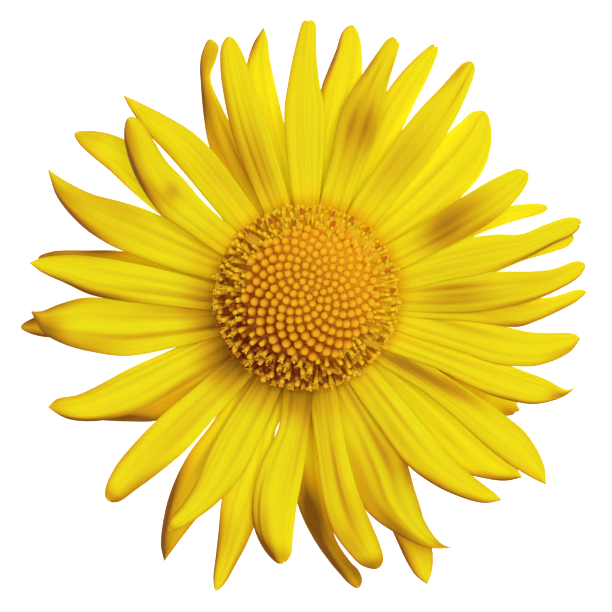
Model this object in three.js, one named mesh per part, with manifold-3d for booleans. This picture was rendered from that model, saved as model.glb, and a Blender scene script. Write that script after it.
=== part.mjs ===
// Leopard's bane: one flower head, cut with a short stub of its stem.
// It lies on its back, so the bloom faces up. Millimetres, +Z up.
// The surface that it lies on is z = 0, and the origin is under the middle of its outline.

import * as THREE from "three";
import { mergeVertices } from "three/addons/utils/BufferGeometryUtils.js";
import Module from "manifold-3d";

const wasm = await Module();
wasm.setup();

// Stem stub and receptacle: radius and height pairs of the turned outline
const STEM_SIDES = 24;
const STEM_OUTLINE = [
  [0, 0], [1.85, 0], [1.8, 2.0], [2.2, 2.8], [3.0, 3.5],
  [8.3, 5.3], [8.5, 6.0], [0, 6.0],
];

// Involucre: a thin saucer under the receptacle, and two rows of green bracts that spread from it
const SAUCER_SIDES = 22;
const SAUCER_OUTLINE = [
  [3.3, 2.4], [9.5, 4.7], [9.7, 5.9], [8.85, 5.9],
  [8.7, 5.05], [3.3, 3.2], [3.3, 2.4],
];
const BRACTS = 22;
const BRACT_PHASE = 133;
const BRACT_THICKNESS = 0.6;
const BRACT_FOLD = 0.12;
const BRACT_POINT = 0.35;
// Each bract's rows: radius from the axis, half width, and height of its upper face
const OUTER_BRACT = [
  [4.2, 0.45, 2.95], [6.6, 0.95, 3.75], [9.4, 1.05, 4.65], [11.4, 0.7, 4.75], [12.9, 0.12, 4.3],
];
const INNER_BRACT = [
  [6.4, 0.45, 4.0], [8.2, 0.85, 4.65], [9.8, 0.9, 5.25], [11.6, 0.6, 5.4], [13.1, 0.12, 5.1],
];

// Disc: a low dome of closed buds inside a ring of open florets
const DOME_TOP = 13.7;
const DOME_FALL = 0.04;
const BUD_CORE_RADIUS = 6.6;
const BUD_CORE_SIDES = 12;
const BUD_CORE_RINGS = 3;
const BUD_CORE_BASE = 6.3;
const BUDS = 164;
const BUD_SPREAD = 0.5;
const BUD_RADIUS = 0.44;
const BUD_SUNK = 1.6;
const BUD_SHOULDER = 0.16;
const BUD_POINT = 0.34;
const BUD_SIDES = 5;
const GOLDEN_ANGLE = Math.PI * (3 - Math.sqrt(5));
const FLORET_RING = [
  [7.2, 6.3], [8.4, 6.3], [8.4, 9.6], [7.9, 10.5], [7.2, 10.9], [7.2, 6.3],
];
const FLORET_RING_SIDES = 24;
const FLORET_SIDES = 5;
const FLORET_MOUTH = 0.6;
const FLORET_PIT = 0.3;
// Rows of open florets, each with the radius and height of its feet and its mouths
const FLORET_ROWS = [
  { count: 30, foot: [7.65, 9.0], tip: [7.78, 12.0] },
  { count: 32, foot: [7.7, 9.0], tip: [8.75, 11.45] },
  { count: 36, foot: [7.7, 9.2], tip: [9.6, 10.8] },
];

// Ray florets: blades that grow from a root ring round the disc
const RAY_RING = [
  [8.8, 6.3], [9.75, 6.3], [9.75, 9.1], [9.2, 9.45], [8.8, 9.45], [8.8, 6.3],
];
const RING_SIDES = 40;
const RAY_START = 9.1;
const RAY_THICKNESS = 0.6;
const RAY_ROWS = 8;
const ROW_POWER = 0.9;
const RAY_COLUMNS = [-1, -0.5, 0, 0.5, 1];
const RAY_FOLD = [0, 0.085, 0.045, 0.085, 0];
const LAYER_BASE = 6.95;
const LAYER_STEP = 0.7;
const CREST_END = 0.84;
const DROOP_POWER = 1.8;
const FLOOR_SIDE = 100;
const FLOOR_DEPTH = 5;

// Each ray: layer at the root, height of its crest, height of its tip, whether the tip is pointed,
// the tip's radius and heading, then rows of radius, right edge and left edge.
// Headings are in degrees, and the rays run clockwise from the top.
const POINTED = true;
const ROUND = false;
const RAYS = [
  [2.0, 1.1, 6.5, ROUND, [28.95, 89.8],
    [[10, 83, 98], [15, 83.8, 98.2], [19.5, 85, 97], [22.5, 87, 95], [25.5, 88, 93.1], [28.4, 88.3, 91.3]]],
  [0.8, 0.8, 4.5, ROUND, [28.9, 80.8],
    [[10, 75.5, 91.5], [17, 75.6, 87.7], [22, 76, 86], [24, 76.3, 84.6], [26, 77.4, 83.3], [28, 79, 82.4]]],
  [2.4, 1.7, 6.0, ROUND, [28.6, 71.5],
    [[10, 65.5, 82], [14.3, 67, 80.1], [18, 66.8, 80], [20.5, 67.7, 78.9], [23.5, 69.2, 76.3],
      [27.5, 69.8, 73.3]]],
  [1.0, 0.8, 4.0, ROUND, [29.7, 63],
    [[10, 57, 75], [15, 59, 72.5], [19, 60.2, 71], [23, 61, 68.7], [26, 61.2, 66.7], [29, 61.9, 64.2]]],
  [2.6, 1.7, 5.5, ROUND, [30, 54.8],
    [[10, 47, 64], [15, 48.2, 61.7], [20, 48.6, 60.1], [23, 49.7, 58.8], [26, 51.2, 57.3],
      [29.3, 53.3, 56.2]]],
  [1.5, 1.0, 5.0, ROUND, [26.85, 46],
    [[10, 31, 51], [16, 31.2, 50.3], [20.3, 33.6, 49.6], [22.4, 35.4, 49.2], [24.2, 38.1, 48.6],
      [26, 42.2, 48]]],
  [3.0, 1.7, 6.5, ROUND, [26.45, 28.9],
    [[10, 16.5, 32.5], [14, 19, 31.7], [17.5, 20.4, 32.4], [20.5, 22, 32.4], [23.5, 24.3, 32],
      [25.8, 27.2, 31]]],
  [0.8, 0.3, 0, ROUND, [27.15, 20.3],
    [[10, 15, 27], [15, 18, 27], [19.4, 20, 26], [23, 20, 24.2], [26.5, 19.6, 21.5]]],
  [2.4, 1.0, 6.0, ROUND, [29.8, 15.2],
    [[10, 4, 22], [15, 6.6, 20.5], [18, 7.2, 19.6], [20.8, 8.4, 17.9], [23.2, 9.9, 16.1],
      [26.2, 11.9, 16.7], [28.8, 13.3, 16.6]]],
  [1.2, 0.3, 3.5, ROUND, [28.7, 12.5],
    [[10, 3, 15], [18, 6, 15], [23, 9.4, 14.5], [26.4, 10.3, 14], [28, 11, 13.6]]],
  [2.0, 1.0, 5.5, ROUND, [29.3, 6.4],
    [[10, -8.5, 7.5], [17, -5.5, 7.5], [21, -2.9, 6.9], [23.5, -1.1, 6.2], [25.8, 1, 6.2], [28.6, 4.2, 7.3]]],
  [1.7, 0.8, 4.5, ROUND, [29.25, 0.9],
    [[10, -12, 3], [17, -8.8, 1.5], [22.2, -8.3, 0], [24.1, -6.2, -0.6], [25.8, -4.1, -0.2],
      [28.4, -0.9, 1.3]]],
  [1.3, 0.8, 4.0, POINTED, [29.05, -8.8],
    [[10, -21, -4], [18, -19.9, -8.2], [20.7, -19.8, -8.8], [23.4, -18.3, -9.3], [25.5, -16.4, -8.8],
      [28.2, -12, -8.1]]],
  [0.9, 0.7, 3.0, POINTED, [29.8, -18.8],
    [[10, -34, -20], [15.5, -29.3, -20], [21, -28.6, -19], [24.1, -27.1, -19.2], [26.5, -25.3, -19.3],
      [29, -21.3, -19.9]]],
  [0, 0.3, 0, ROUND, [25.5, -28.3],
    [[10, -37, -26], [18, -34, -26], [22, -32.6, -25.5], [24.7, -30.7, -26.2]]],
  [0.6, 0.7, 2.0, POINTED, [32.05, -38.3],
    [[10, -43, -28], [15, -39.6, -29.6], [20.3, -39.5, -30.6], [24.3, -40, -31.2],
      [27.3, -39.8, -32.3], [30.6, -38.9, -35.6]]],
  [0, 0.5, 1.2, POINTED, [29.65, -40.2],
    [[10, -52, -36], [16, -49.6, -38.2], [21, -49.4, -38.7], [24.5, -48.6, -39], [26.9, -45.6, -39.3],
      [28.6, -42.9, -39.6]]],
  [1.2, 0.9, 3.5, POINTED, [29.65, -46.4],
    [[10, -64, -47], [15, -61.4, -47.8], [20.1, -59.6, -48.4], [23, -57, -48.2], [26, -53.4, -47.4],
      [28.6, -49.5, -46.5]]],
  [0.6, 0.8, 2.6, POINTED, [30.6, -60.3],
    [[10, -79, -62], [14.6, -76.8, -59.4], [20, -76, -59.2], [23.3, -74.6, -61.2],
      [26.5, -69.7, -62.5], [29.4, -64.2, -61.8]]],
  [0, 0.3, 0, POINTED, [33, -67.4],
    [[10, -68, -55], [17, -69.5, -58.4], [23, -70.4, -61], [27.3, -69.9, -62.9], [30.2, -69.4, -64.1],
      [31.8, -68.7, -65.6]]],
  [1.5, 1.0, 4.0, ROUND, [29.6, -75.6],
    [[10, -89, -73], [16.5, -86.5, -75.9], [21, -85.6, -75.6], [24.5, -84, -74.5],
      [27.4, -80.7, -73.8], [28.9, -78.5, -74.1]]],
  [0, 0.3, 0, ROUND, [31.4, -80.3],
    [[10, -98, -82], [17, -96, -84.5], [22, -92.5, -84.2], [25.5, -88.6, -83.6], [28.4, -85.2, -81.2],
      [30.6, -82.2, -79.7]]],
  [2.1, 1.2, 5.0, ROUND, [28.3, -95.6],
    [[10, -104, -87], [14, -102.2, -89.7], [18, -105.2, -91.4], [21.5, -105.3, -92.9],
      [25, -102.8, -93.5], [27.4, -98.8, -93.9]]],
  [1.0, 0.8, 2.5, ROUND, [32.5, -107.2],
    [[10, -116, -101], [13, -114.8, -102], [14.4, -114.4, -103.4], [16, -114, -102.6], [19, -113.6, -102.2],
      [23, -112.8, -102.6], [26.5, -110.6, -103.7], [29.2, -109.3, -105], [31.5, -108.3, -106.1]]],
  [2.1, 1.1, 4.5, ROUND, [28.7, -120.6],
    [[10, -122, -106], [16, -122.6, -109], [19.5, -121.8, -110.4], [22.8, -120.7, -112.8],
      [25.5, -120.9, -115.8], [28, -121.4, -119.2]]],
  [0.4, 0.5, 0, POINTED, [31.85, -118.4],
    [[10, -132, -116], [16, -126.9, -114.5], [21, -126.8, -114.4], [25, -125, -116],
      [28, -122.8, -117.3], [30.6, -120.4, -118.1]]],
  [1.5, 1.0, 4.0, ROUND, [30.1, -134.4],
    [[10, -141, -125], [16, -140.6, -127.4], [20.4, -140.4, -128.3], [24, -139.5, -130],
      [27, -138.3, -131.5], [29.4, -136.2, -132.7]]],
  [0, 0.3, 1.0, POINTED, [26, -150],
    [[10, -149, -133], [15, -151, -137], [18.5, -152, -139], [20.6, -152.5, -140.6],
      [22.9, -152.5, -144.8], [25.1, -151.5, -148.5]]],
  [1.0, 0.9, 2.8, POINTED, [29.75, -156.8],
    [[10, -160, -143], [15, -158.4, -144.7], [20.4, -157.7, -145.5], [23.5, -156.9, -147.4],
      [26.3, -156.7, -150], [28.5, -157.6, -153.2]]],
  [1.9, 1.0, 4.2, POINTED, [29.1, -176.8],
    [[10, -173, -156], [15, -176.5, -159], [20, -178.9, -161.8], [23.3, -179.5, -165.5],
      [26, -178.1, -168.8], [28, -176.7, -172.2]]],
  [0, 0.3, 0, ROUND, [30.5, -173.8],
    [[10, -179, -165], [19, -177, -168], [26, -176.2, -170.2], [29.2, -175.3, -172]]],
  [2.5, 1.1, 5.5, POINTED, [29.35, 173.2],
    [[10, 172.5, 188], [14.8, 170, 183.7], [19.3, 169.5, 181.4], [22.7, 169.7, 179.6],
      [25.3, 170.3, 177], [28, 171.8, 174.8]]],
  [0.2, 0.3, 1.5, ROUND, [28.7, 172],
    [[10, 165, 180], [15, 166, 178], [20.2, 166.6, 176.5], [23.5, 168.3, 176], [27.5, 170.3, 174.2]]],
  [1.2, 0.9, 3.5, POINTED, [30.4, 154],
    [[10, 151, 170], [15, 151.1, 168.4], [19, 151.9, 166.6], [22, 153.3, 165], [25, 154.7, 162.5],
      [28.3, 154.6, 158.4]]],
  [0.3, 0.4, 0, ROUND, [30.05, 145],
    [[10, 139, 156], [15, 139, 152.5], [21, 139, 149.4], [24.8, 139.3, 147.5], [27.2, 140.9, 146.9],
      [29.2, 143.3, 146.1]]],
  [2.5, 1.5, 6.2, ROUND, [26.5, 135.2],
    [[10, 138, 154], [14.5, 137.9, 151.7], [17.5, 136.5, 150.6], [20.5, 136, 147], [23, 134.7, 143.4],
      [25.6, 133.8, 138.6]]],
  [1.2, 0.9, 4.2, POINTED, [28.6, 132.5],
    [[10, 121, 139], [14, 122.2, 136.7], [18, 123.3, 135.3], [21, 125.2, 134.8], [24, 128.2, 134.3],
      [27, 131.1, 133.4]]],
  [0.4, 0.5, 3.0, ROUND, [28.95, 111.3],
    [[10, 112, 127], [15, 113.5, 125], [18.7, 114, 123.2], [22, 114.8, 119.9], [25.1, 114.5, 117],
      [26.7, 111.6, 115.6], [27.9, 110.1, 114]]],
  [1.7, 1.2, 5.5, ROUND, [28.45, 106.9],
    [[10, 101, 117], [15, 102.8, 115.9], [19, 103.6, 114.6], [22.5, 104.4, 112.7],
      [25.5, 104.8, 110.9], [27.8, 105.8, 108.8]]],
  [0.6, 0.6, 2.5, POINTED, [28.65, 99.3],
    [[10, 94, 109], [16, 97, 108.3], [20, 98.3, 107.5], [23.2, 98.9, 106.2], [25.5, 99.1, 104.2],
      [27.3, 98.9, 101.8]]],
];

const MATERIALS = {
  stem: new THREE.MeshStandardMaterial({ color: 0x7e9a45, roughness: 0.65, metalness: 0 }),
  bract: new THREE.MeshStandardMaterial({ color: 0x6c8c3a, roughness: 0.7, metalness: 0 }),
  ray: new THREE.MeshStandardMaterial({ color: 0xeed40f, roughness: 0.55, metalness: 0 }),
  bud: new THREE.MeshStandardMaterial({ color: 0xe09a20, roughness: 0.5, metalness: 0 }),
  floret: new THREE.MeshStandardMaterial({ color: 0xd99a24, roughness: 0.55, metalness: 0 }),
};

function polar(radius, heading, z) {
  return new THREE.Vector3(radius * Math.cos(heading), radius * Math.sin(heading), z);
}

// A closed mesh as a solid that can be joined and cut
function solidOf(geometry) {
  const bare = new THREE.BufferGeometry();
  bare.setAttribute("position", geometry.getAttribute("position"));
  if (geometry.index) bare.setIndex(geometry.index);
  const merged = mergeVertices(bare, 1e-4);
  const vertProperties = new Float32Array(merged.getAttribute("position").array);
  const triVerts = new Uint32Array(merged.index.array);
  return new wasm.Manifold(new wasm.Mesh({ numProp: 3, vertProperties, triVerts }));
}

function geometryOf(solid) {
  const mesh = solid.getMesh();
  const geometry = new THREE.BufferGeometry();
  geometry.setAttribute("position", new THREE.BufferAttribute(new Float32Array(mesh.vertProperties), 3));
  geometry.setIndex(new THREE.BufferAttribute(new Uint32Array(mesh.triVerts), 1));
  geometry.computeVertexNormals();
  return geometry;
}

// A closed mesh from points and faces
function shell(points, faces) {
  const geometry = new THREE.BufferGeometry();
  geometry.setFromPoints(points);
  geometry.setIndex(faces.flat());
  return geometry;
}

// An outline of radius and height pairs, turned about the axis
function turned(outline, sides) {
  const lathe = new THREE.LatheGeometry(outline.map(([r, z]) => new THREE.Vector2(r, z)), sides);
  return solidOf(lathe.rotateX(Math.PI / 2));
}

// A blade from rows of upper points, each as wide in points as the last, with one point at its tip
function blade(rows, tip, thickness) {
  const columns = rows[0].length;
  const upper = [...rows.flat(), tip];
  const lower = upper.map((p) => new THREE.Vector3(p.x, p.y, p.z - thickness));
  const down = upper.length;
  const at = (row, column) => row * columns + column;
  const last = rows.length - 1;
  const end = upper.length - 1;
  const faces = [];
  const twoFaced = (a, b, c) => faces.push([a, b, c], [a + down, c + down, b + down]);
  const wall = (a, b) => faces.push([a, a + down, b], [b, a + down, b + down]);
  for (let row = 0; row < last; row += 1) {
    for (let column = 0; column + 1 < columns; column += 1) {
      twoFaced(at(row, column), at(row + 1, column), at(row, column + 1));
      twoFaced(at(row, column + 1), at(row + 1, column), at(row + 1, column + 1));
    }
    wall(at(row, 0), at(row + 1, 0));
    wall(at(row + 1, columns - 1), at(row, columns - 1));
  }
  for (let column = 0; column + 1 < columns; column += 1) {
    wall(at(0, column + 1), at(0, column));
    twoFaced(at(last, column), end, at(last, column + 1));
  }
  wall(at(last, 0), end);
  wall(end, at(last, columns - 1));
  return solidOf(shell([...upper, ...lower], faces));
}

// A bud or trumpet with flat sides: it widens from a point at its foot to its mouth,
// which a point or a pit closes
function bell(foot, mouth, mouthRadius, pointHeight, sides) {
  const along = mouth.clone().sub(foot).normalize();
  const turn = new THREE.Quaternion().setFromUnitVectors(new THREE.Vector3(0, 0, 1), along);
  const points = [foot, mouth.clone().addScaledVector(along, pointHeight)];
  const faces = [];
  for (let side = 0; side < sides; side += 1) {
    const angle = (2 * Math.PI * side) / sides;
    points.push(polar(mouthRadius, angle, 0).applyQuaternion(turn).add(mouth));
    const here = side + 2;
    const next = ((side + 1) % sides) + 2;
    faces.push([0, next, here], [1, here, next]);
  }
  return solidOf(shell(points, faces));
}

function joined(solids) {
  return wasm.Manifold.union(solids);
}

// Height of the disc's dome at a radius
function domeHeight(radius) {
  return DOME_TOP - DOME_FALL * radius ** 2;
}

function stem() {
  return turned(STEM_OUTLINE, STEM_SIDES);
}

function bract(rows, heading) {
  const across = polar(1, heading + Math.PI / 2, 0);
  const ribbon = rows.map(([radius, halfWidth, z]) => [-1, 0, 1].map((side) => {
    const fold = side === 0 ? 0 : BRACT_FOLD;
    return polar(radius, heading, z + fold).addScaledVector(across, side * halfWidth);
  }));
  const [tipRadius, , tipZ] = rows.at(-1);
  return blade(ribbon, polar(tipRadius + BRACT_POINT, heading, tipZ), BRACT_THICKNESS);
}

function involucre() {
  const parts = [turned(SAUCER_OUTLINE, SAUCER_SIDES)];
  for (let index = 0; index < BRACTS; index += 1) {
    const heading = THREE.MathUtils.degToRad(BRACT_PHASE + (360 * index) / BRACTS);
    parts.push(bract(index % 2 ? INNER_BRACT : OUTER_BRACT, heading));
  }
  return joined(parts);
}

// Right and left edge of a ray, each a smooth curve to its tip; a round tip is one curve with both edges
function rayEdges([, , , pointed, [tipRadius, tipHeading], stations]) {
  const place = (radius, heading) => polar(radius, THREE.MathUtils.degToRad(heading), 0);
  const [, rootRight, rootLeft] = stations[0];
  const rows = [[RAY_START, rootRight, rootLeft], ...stations];
  const right = rows.map(([radius, heading]) => place(radius, heading));
  const left = rows.map(([radius, , heading]) => place(radius, heading));
  const tip = place(tipRadius, tipHeading);
  if (pointed) {
    const rightCurve = new THREE.CatmullRomCurve3([...right, tip]);
    const leftCurve = new THREE.CatmullRomCurve3([...left, tip]);
    return { tip, edge: (side, share) => (side < 0 ? rightCurve : leftCurve).getPoint(share) };
  }
  const round = new THREE.CatmullRomCurve3([...right, tip, ...left.reverse()]);
  return { tip, edge: (side, share) => round.getPoint(side < 0 ? share / 2 : 1 - share / 2) };
}

// Height of a ray's middle line: it leaves the disc's edge, rises to a crest and droops to its tip
function rayHeight([layer, crest, tipZ, , [tipRadius]], radius) {
  const run = THREE.MathUtils.clamp((radius - RAY_START) / (tipRadius - RAY_START), 0, 1);
  const root = LAYER_BASE + LAYER_STEP * layer;
  const rise = crest * Math.sin(Math.PI * Math.min(run / CREST_END, 1));
  return root + rise + (tipZ - root) * run ** DROOP_POWER;
}

function ray(shape) {
  const { tip, edge } = rayEdges(shape);
  const rows = [];
  for (let row = 0; row < RAY_ROWS; row += 1) {
    const share = (row / RAY_ROWS) ** ROW_POWER;
    const right = edge(-1, share);
    const left = edge(1, share);
    const width = right.distanceTo(left);
    rows.push(RAY_COLUMNS.map((column, index) => {
      const point = right.clone().lerp(left, (column + 1) / 2);
      point.z = rayHeight(shape, point.length()) + RAY_FOLD[index] * width;
      return point;
    }));
  }
  tip.z = rayHeight(shape, tip.length());
  return blade(rows, tip, RAY_THICKNESS);
}

// The rays and their root ring, flat where the low rays lie on the surface
function rayFlorets() {
  const bloom = joined([turned(RAY_RING, RING_SIDES), ...RAYS.map(ray)]);
  const floor = new THREE.BoxGeometry(FLOOR_SIDE, FLOOR_SIDE, FLOOR_DEPTH);
  return bloom.subtract(solidOf(floor.translate(0, 0, -FLOOR_DEPTH / 2)));
}

// The closed buds follow a spiral by the golden angle over the dome
function discBuds() {
  const outline = [[0, BUD_CORE_BASE], [BUD_CORE_RADIUS, BUD_CORE_BASE]];
  for (let ring = BUD_CORE_RINGS; ring >= 0; ring -= 1) {
    const radius = (BUD_CORE_RADIUS * ring) / BUD_CORE_RINGS;
    outline.push([radius, domeHeight(radius)]);
  }
  const parts = [turned(outline, BUD_CORE_SIDES)];
  for (let index = 0; index < BUDS; index += 1) {
    const radius = BUD_SPREAD * Math.sqrt(index + 0.5);
    const heading = index * GOLDEN_ANGLE;
    const out = new THREE.Vector3(2 * DOME_FALL * radius, 0, 1).normalize();
    out.applyAxisAngle(new THREE.Vector3(0, 0, 1), heading);
    const seat = polar(radius, heading, domeHeight(radius));
    const foot = seat.clone().addScaledVector(out, -BUD_SUNK);
    const shoulder = seat.clone().addScaledVector(out, BUD_SHOULDER);
    parts.push(bell(foot, shoulder, BUD_RADIUS, BUD_POINT, BUD_SIDES));
  }
  return joined(parts);
}

// Open florets lean out from the disc's edge in three rows
function openFlorets() {
  const parts = [turned(FLORET_RING, FLORET_RING_SIDES)];
  FLORET_ROWS.forEach(({ count, foot, tip }, row) => {
    for (let index = 0; index < count; index += 1) {
      const heading = (2 * Math.PI * (index + row / 2)) / count;
      const root = polar(foot[0], heading, foot[1]);
      const mouth = polar(tip[0], heading, tip[1]);
      parts.push(bell(root, mouth, FLORET_MOUTH, -FLORET_PIT, FLORET_SIDES));
    }
  });
  return joined(parts);
}

function named(name, solid, material) {
  const mesh = new THREE.Mesh(geometryOf(solid), material);
  mesh.name = name;
  return mesh;
}

const head = new THREE.Group();
head.add(named("stem", stem(), MATERIALS.stem));
head.add(named("involucre", involucre(), MATERIALS.bract));
head.add(named("ray_florets", rayFlorets(), MATERIALS.ray));
head.add(named("disc_buds", discBuds(), MATERIALS.bud));
head.add(named("open_florets", openFlorets(), MATERIALS.floret));

// The origin lies under the middle of the outline
const middle = new THREE.Box3().setFromObject(head).getCenter(new THREE.Vector3());
head.position.set(-middle.x, -middle.y, 0);

export default head;
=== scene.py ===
import random
from math import atan2, cos, exp, pi, radians, sin, sqrt, tau

import bpy
import numpy as np
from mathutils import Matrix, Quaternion, Vector


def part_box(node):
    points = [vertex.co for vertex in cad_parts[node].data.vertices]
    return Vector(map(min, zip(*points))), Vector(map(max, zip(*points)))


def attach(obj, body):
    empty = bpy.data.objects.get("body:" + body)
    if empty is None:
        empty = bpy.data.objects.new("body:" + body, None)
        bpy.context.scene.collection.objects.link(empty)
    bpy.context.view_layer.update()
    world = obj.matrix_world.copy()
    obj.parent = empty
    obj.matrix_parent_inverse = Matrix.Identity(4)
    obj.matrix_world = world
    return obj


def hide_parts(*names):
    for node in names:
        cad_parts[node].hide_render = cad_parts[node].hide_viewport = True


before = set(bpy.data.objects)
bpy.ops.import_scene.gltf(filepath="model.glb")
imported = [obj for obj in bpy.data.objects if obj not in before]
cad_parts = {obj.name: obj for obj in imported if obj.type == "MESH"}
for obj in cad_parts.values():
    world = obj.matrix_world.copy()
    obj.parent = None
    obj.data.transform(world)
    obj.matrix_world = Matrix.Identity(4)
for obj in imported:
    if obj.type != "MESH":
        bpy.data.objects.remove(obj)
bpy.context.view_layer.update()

# Places are in millimetres from the disc's axis and the surface, and are turned to metres at the end.
MM = 0.001
BODY = "root"
SEED = 7
AXIS = (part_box("stem")[0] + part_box("stem")[1]) / 2 / MM
UP = Vector((0, 0, 1))
GOLDEN_ANGLE = pi * (3 - sqrt(5))
HUNDREDTHS = 100

# Camera: straight above, with the disc where the photograph has it. Heights and clip are in metres.
PHOTO_SIDE = 612
PHOTO_AXIS = (307.5, 296.0)
MM_A_PIXEL = 0.105
CAMERA_HEIGHT = 0.6
FOCUS_HEIGHT = 0.0045
SENSOR = 36.0
CLIP = (0.01, 20)

# Lamps: place and width in metres, and watts. The key is at the upper right, and the back lamp opposite.
LAMPS = {
    "key": ((0.36, 0.32, 0.84), 0.3, 2.0),
    "top": ((0.0, 0.0, 1.1), 0.8, 3.9),
    "back": ((-0.45, -0.45, 0.6), 0.4, 1.3),
}
FILL_COLOUR = (1.0, 0.68, 0.45, 1)
FILL_STRENGTH = 0.36
FLOOR_METRES = 6.0

# Ray florets, as in the solids
RAY_START = 9.1
LAYER_BASE = 6.95
LAYER_STEP = 0.7
CREST_END = 0.84
DROOP_POWER = 1.8
RAY_MIDDLE = 0.24
RAY_MARGIN = 0.10
RAY_ARCH = 0.085
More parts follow.
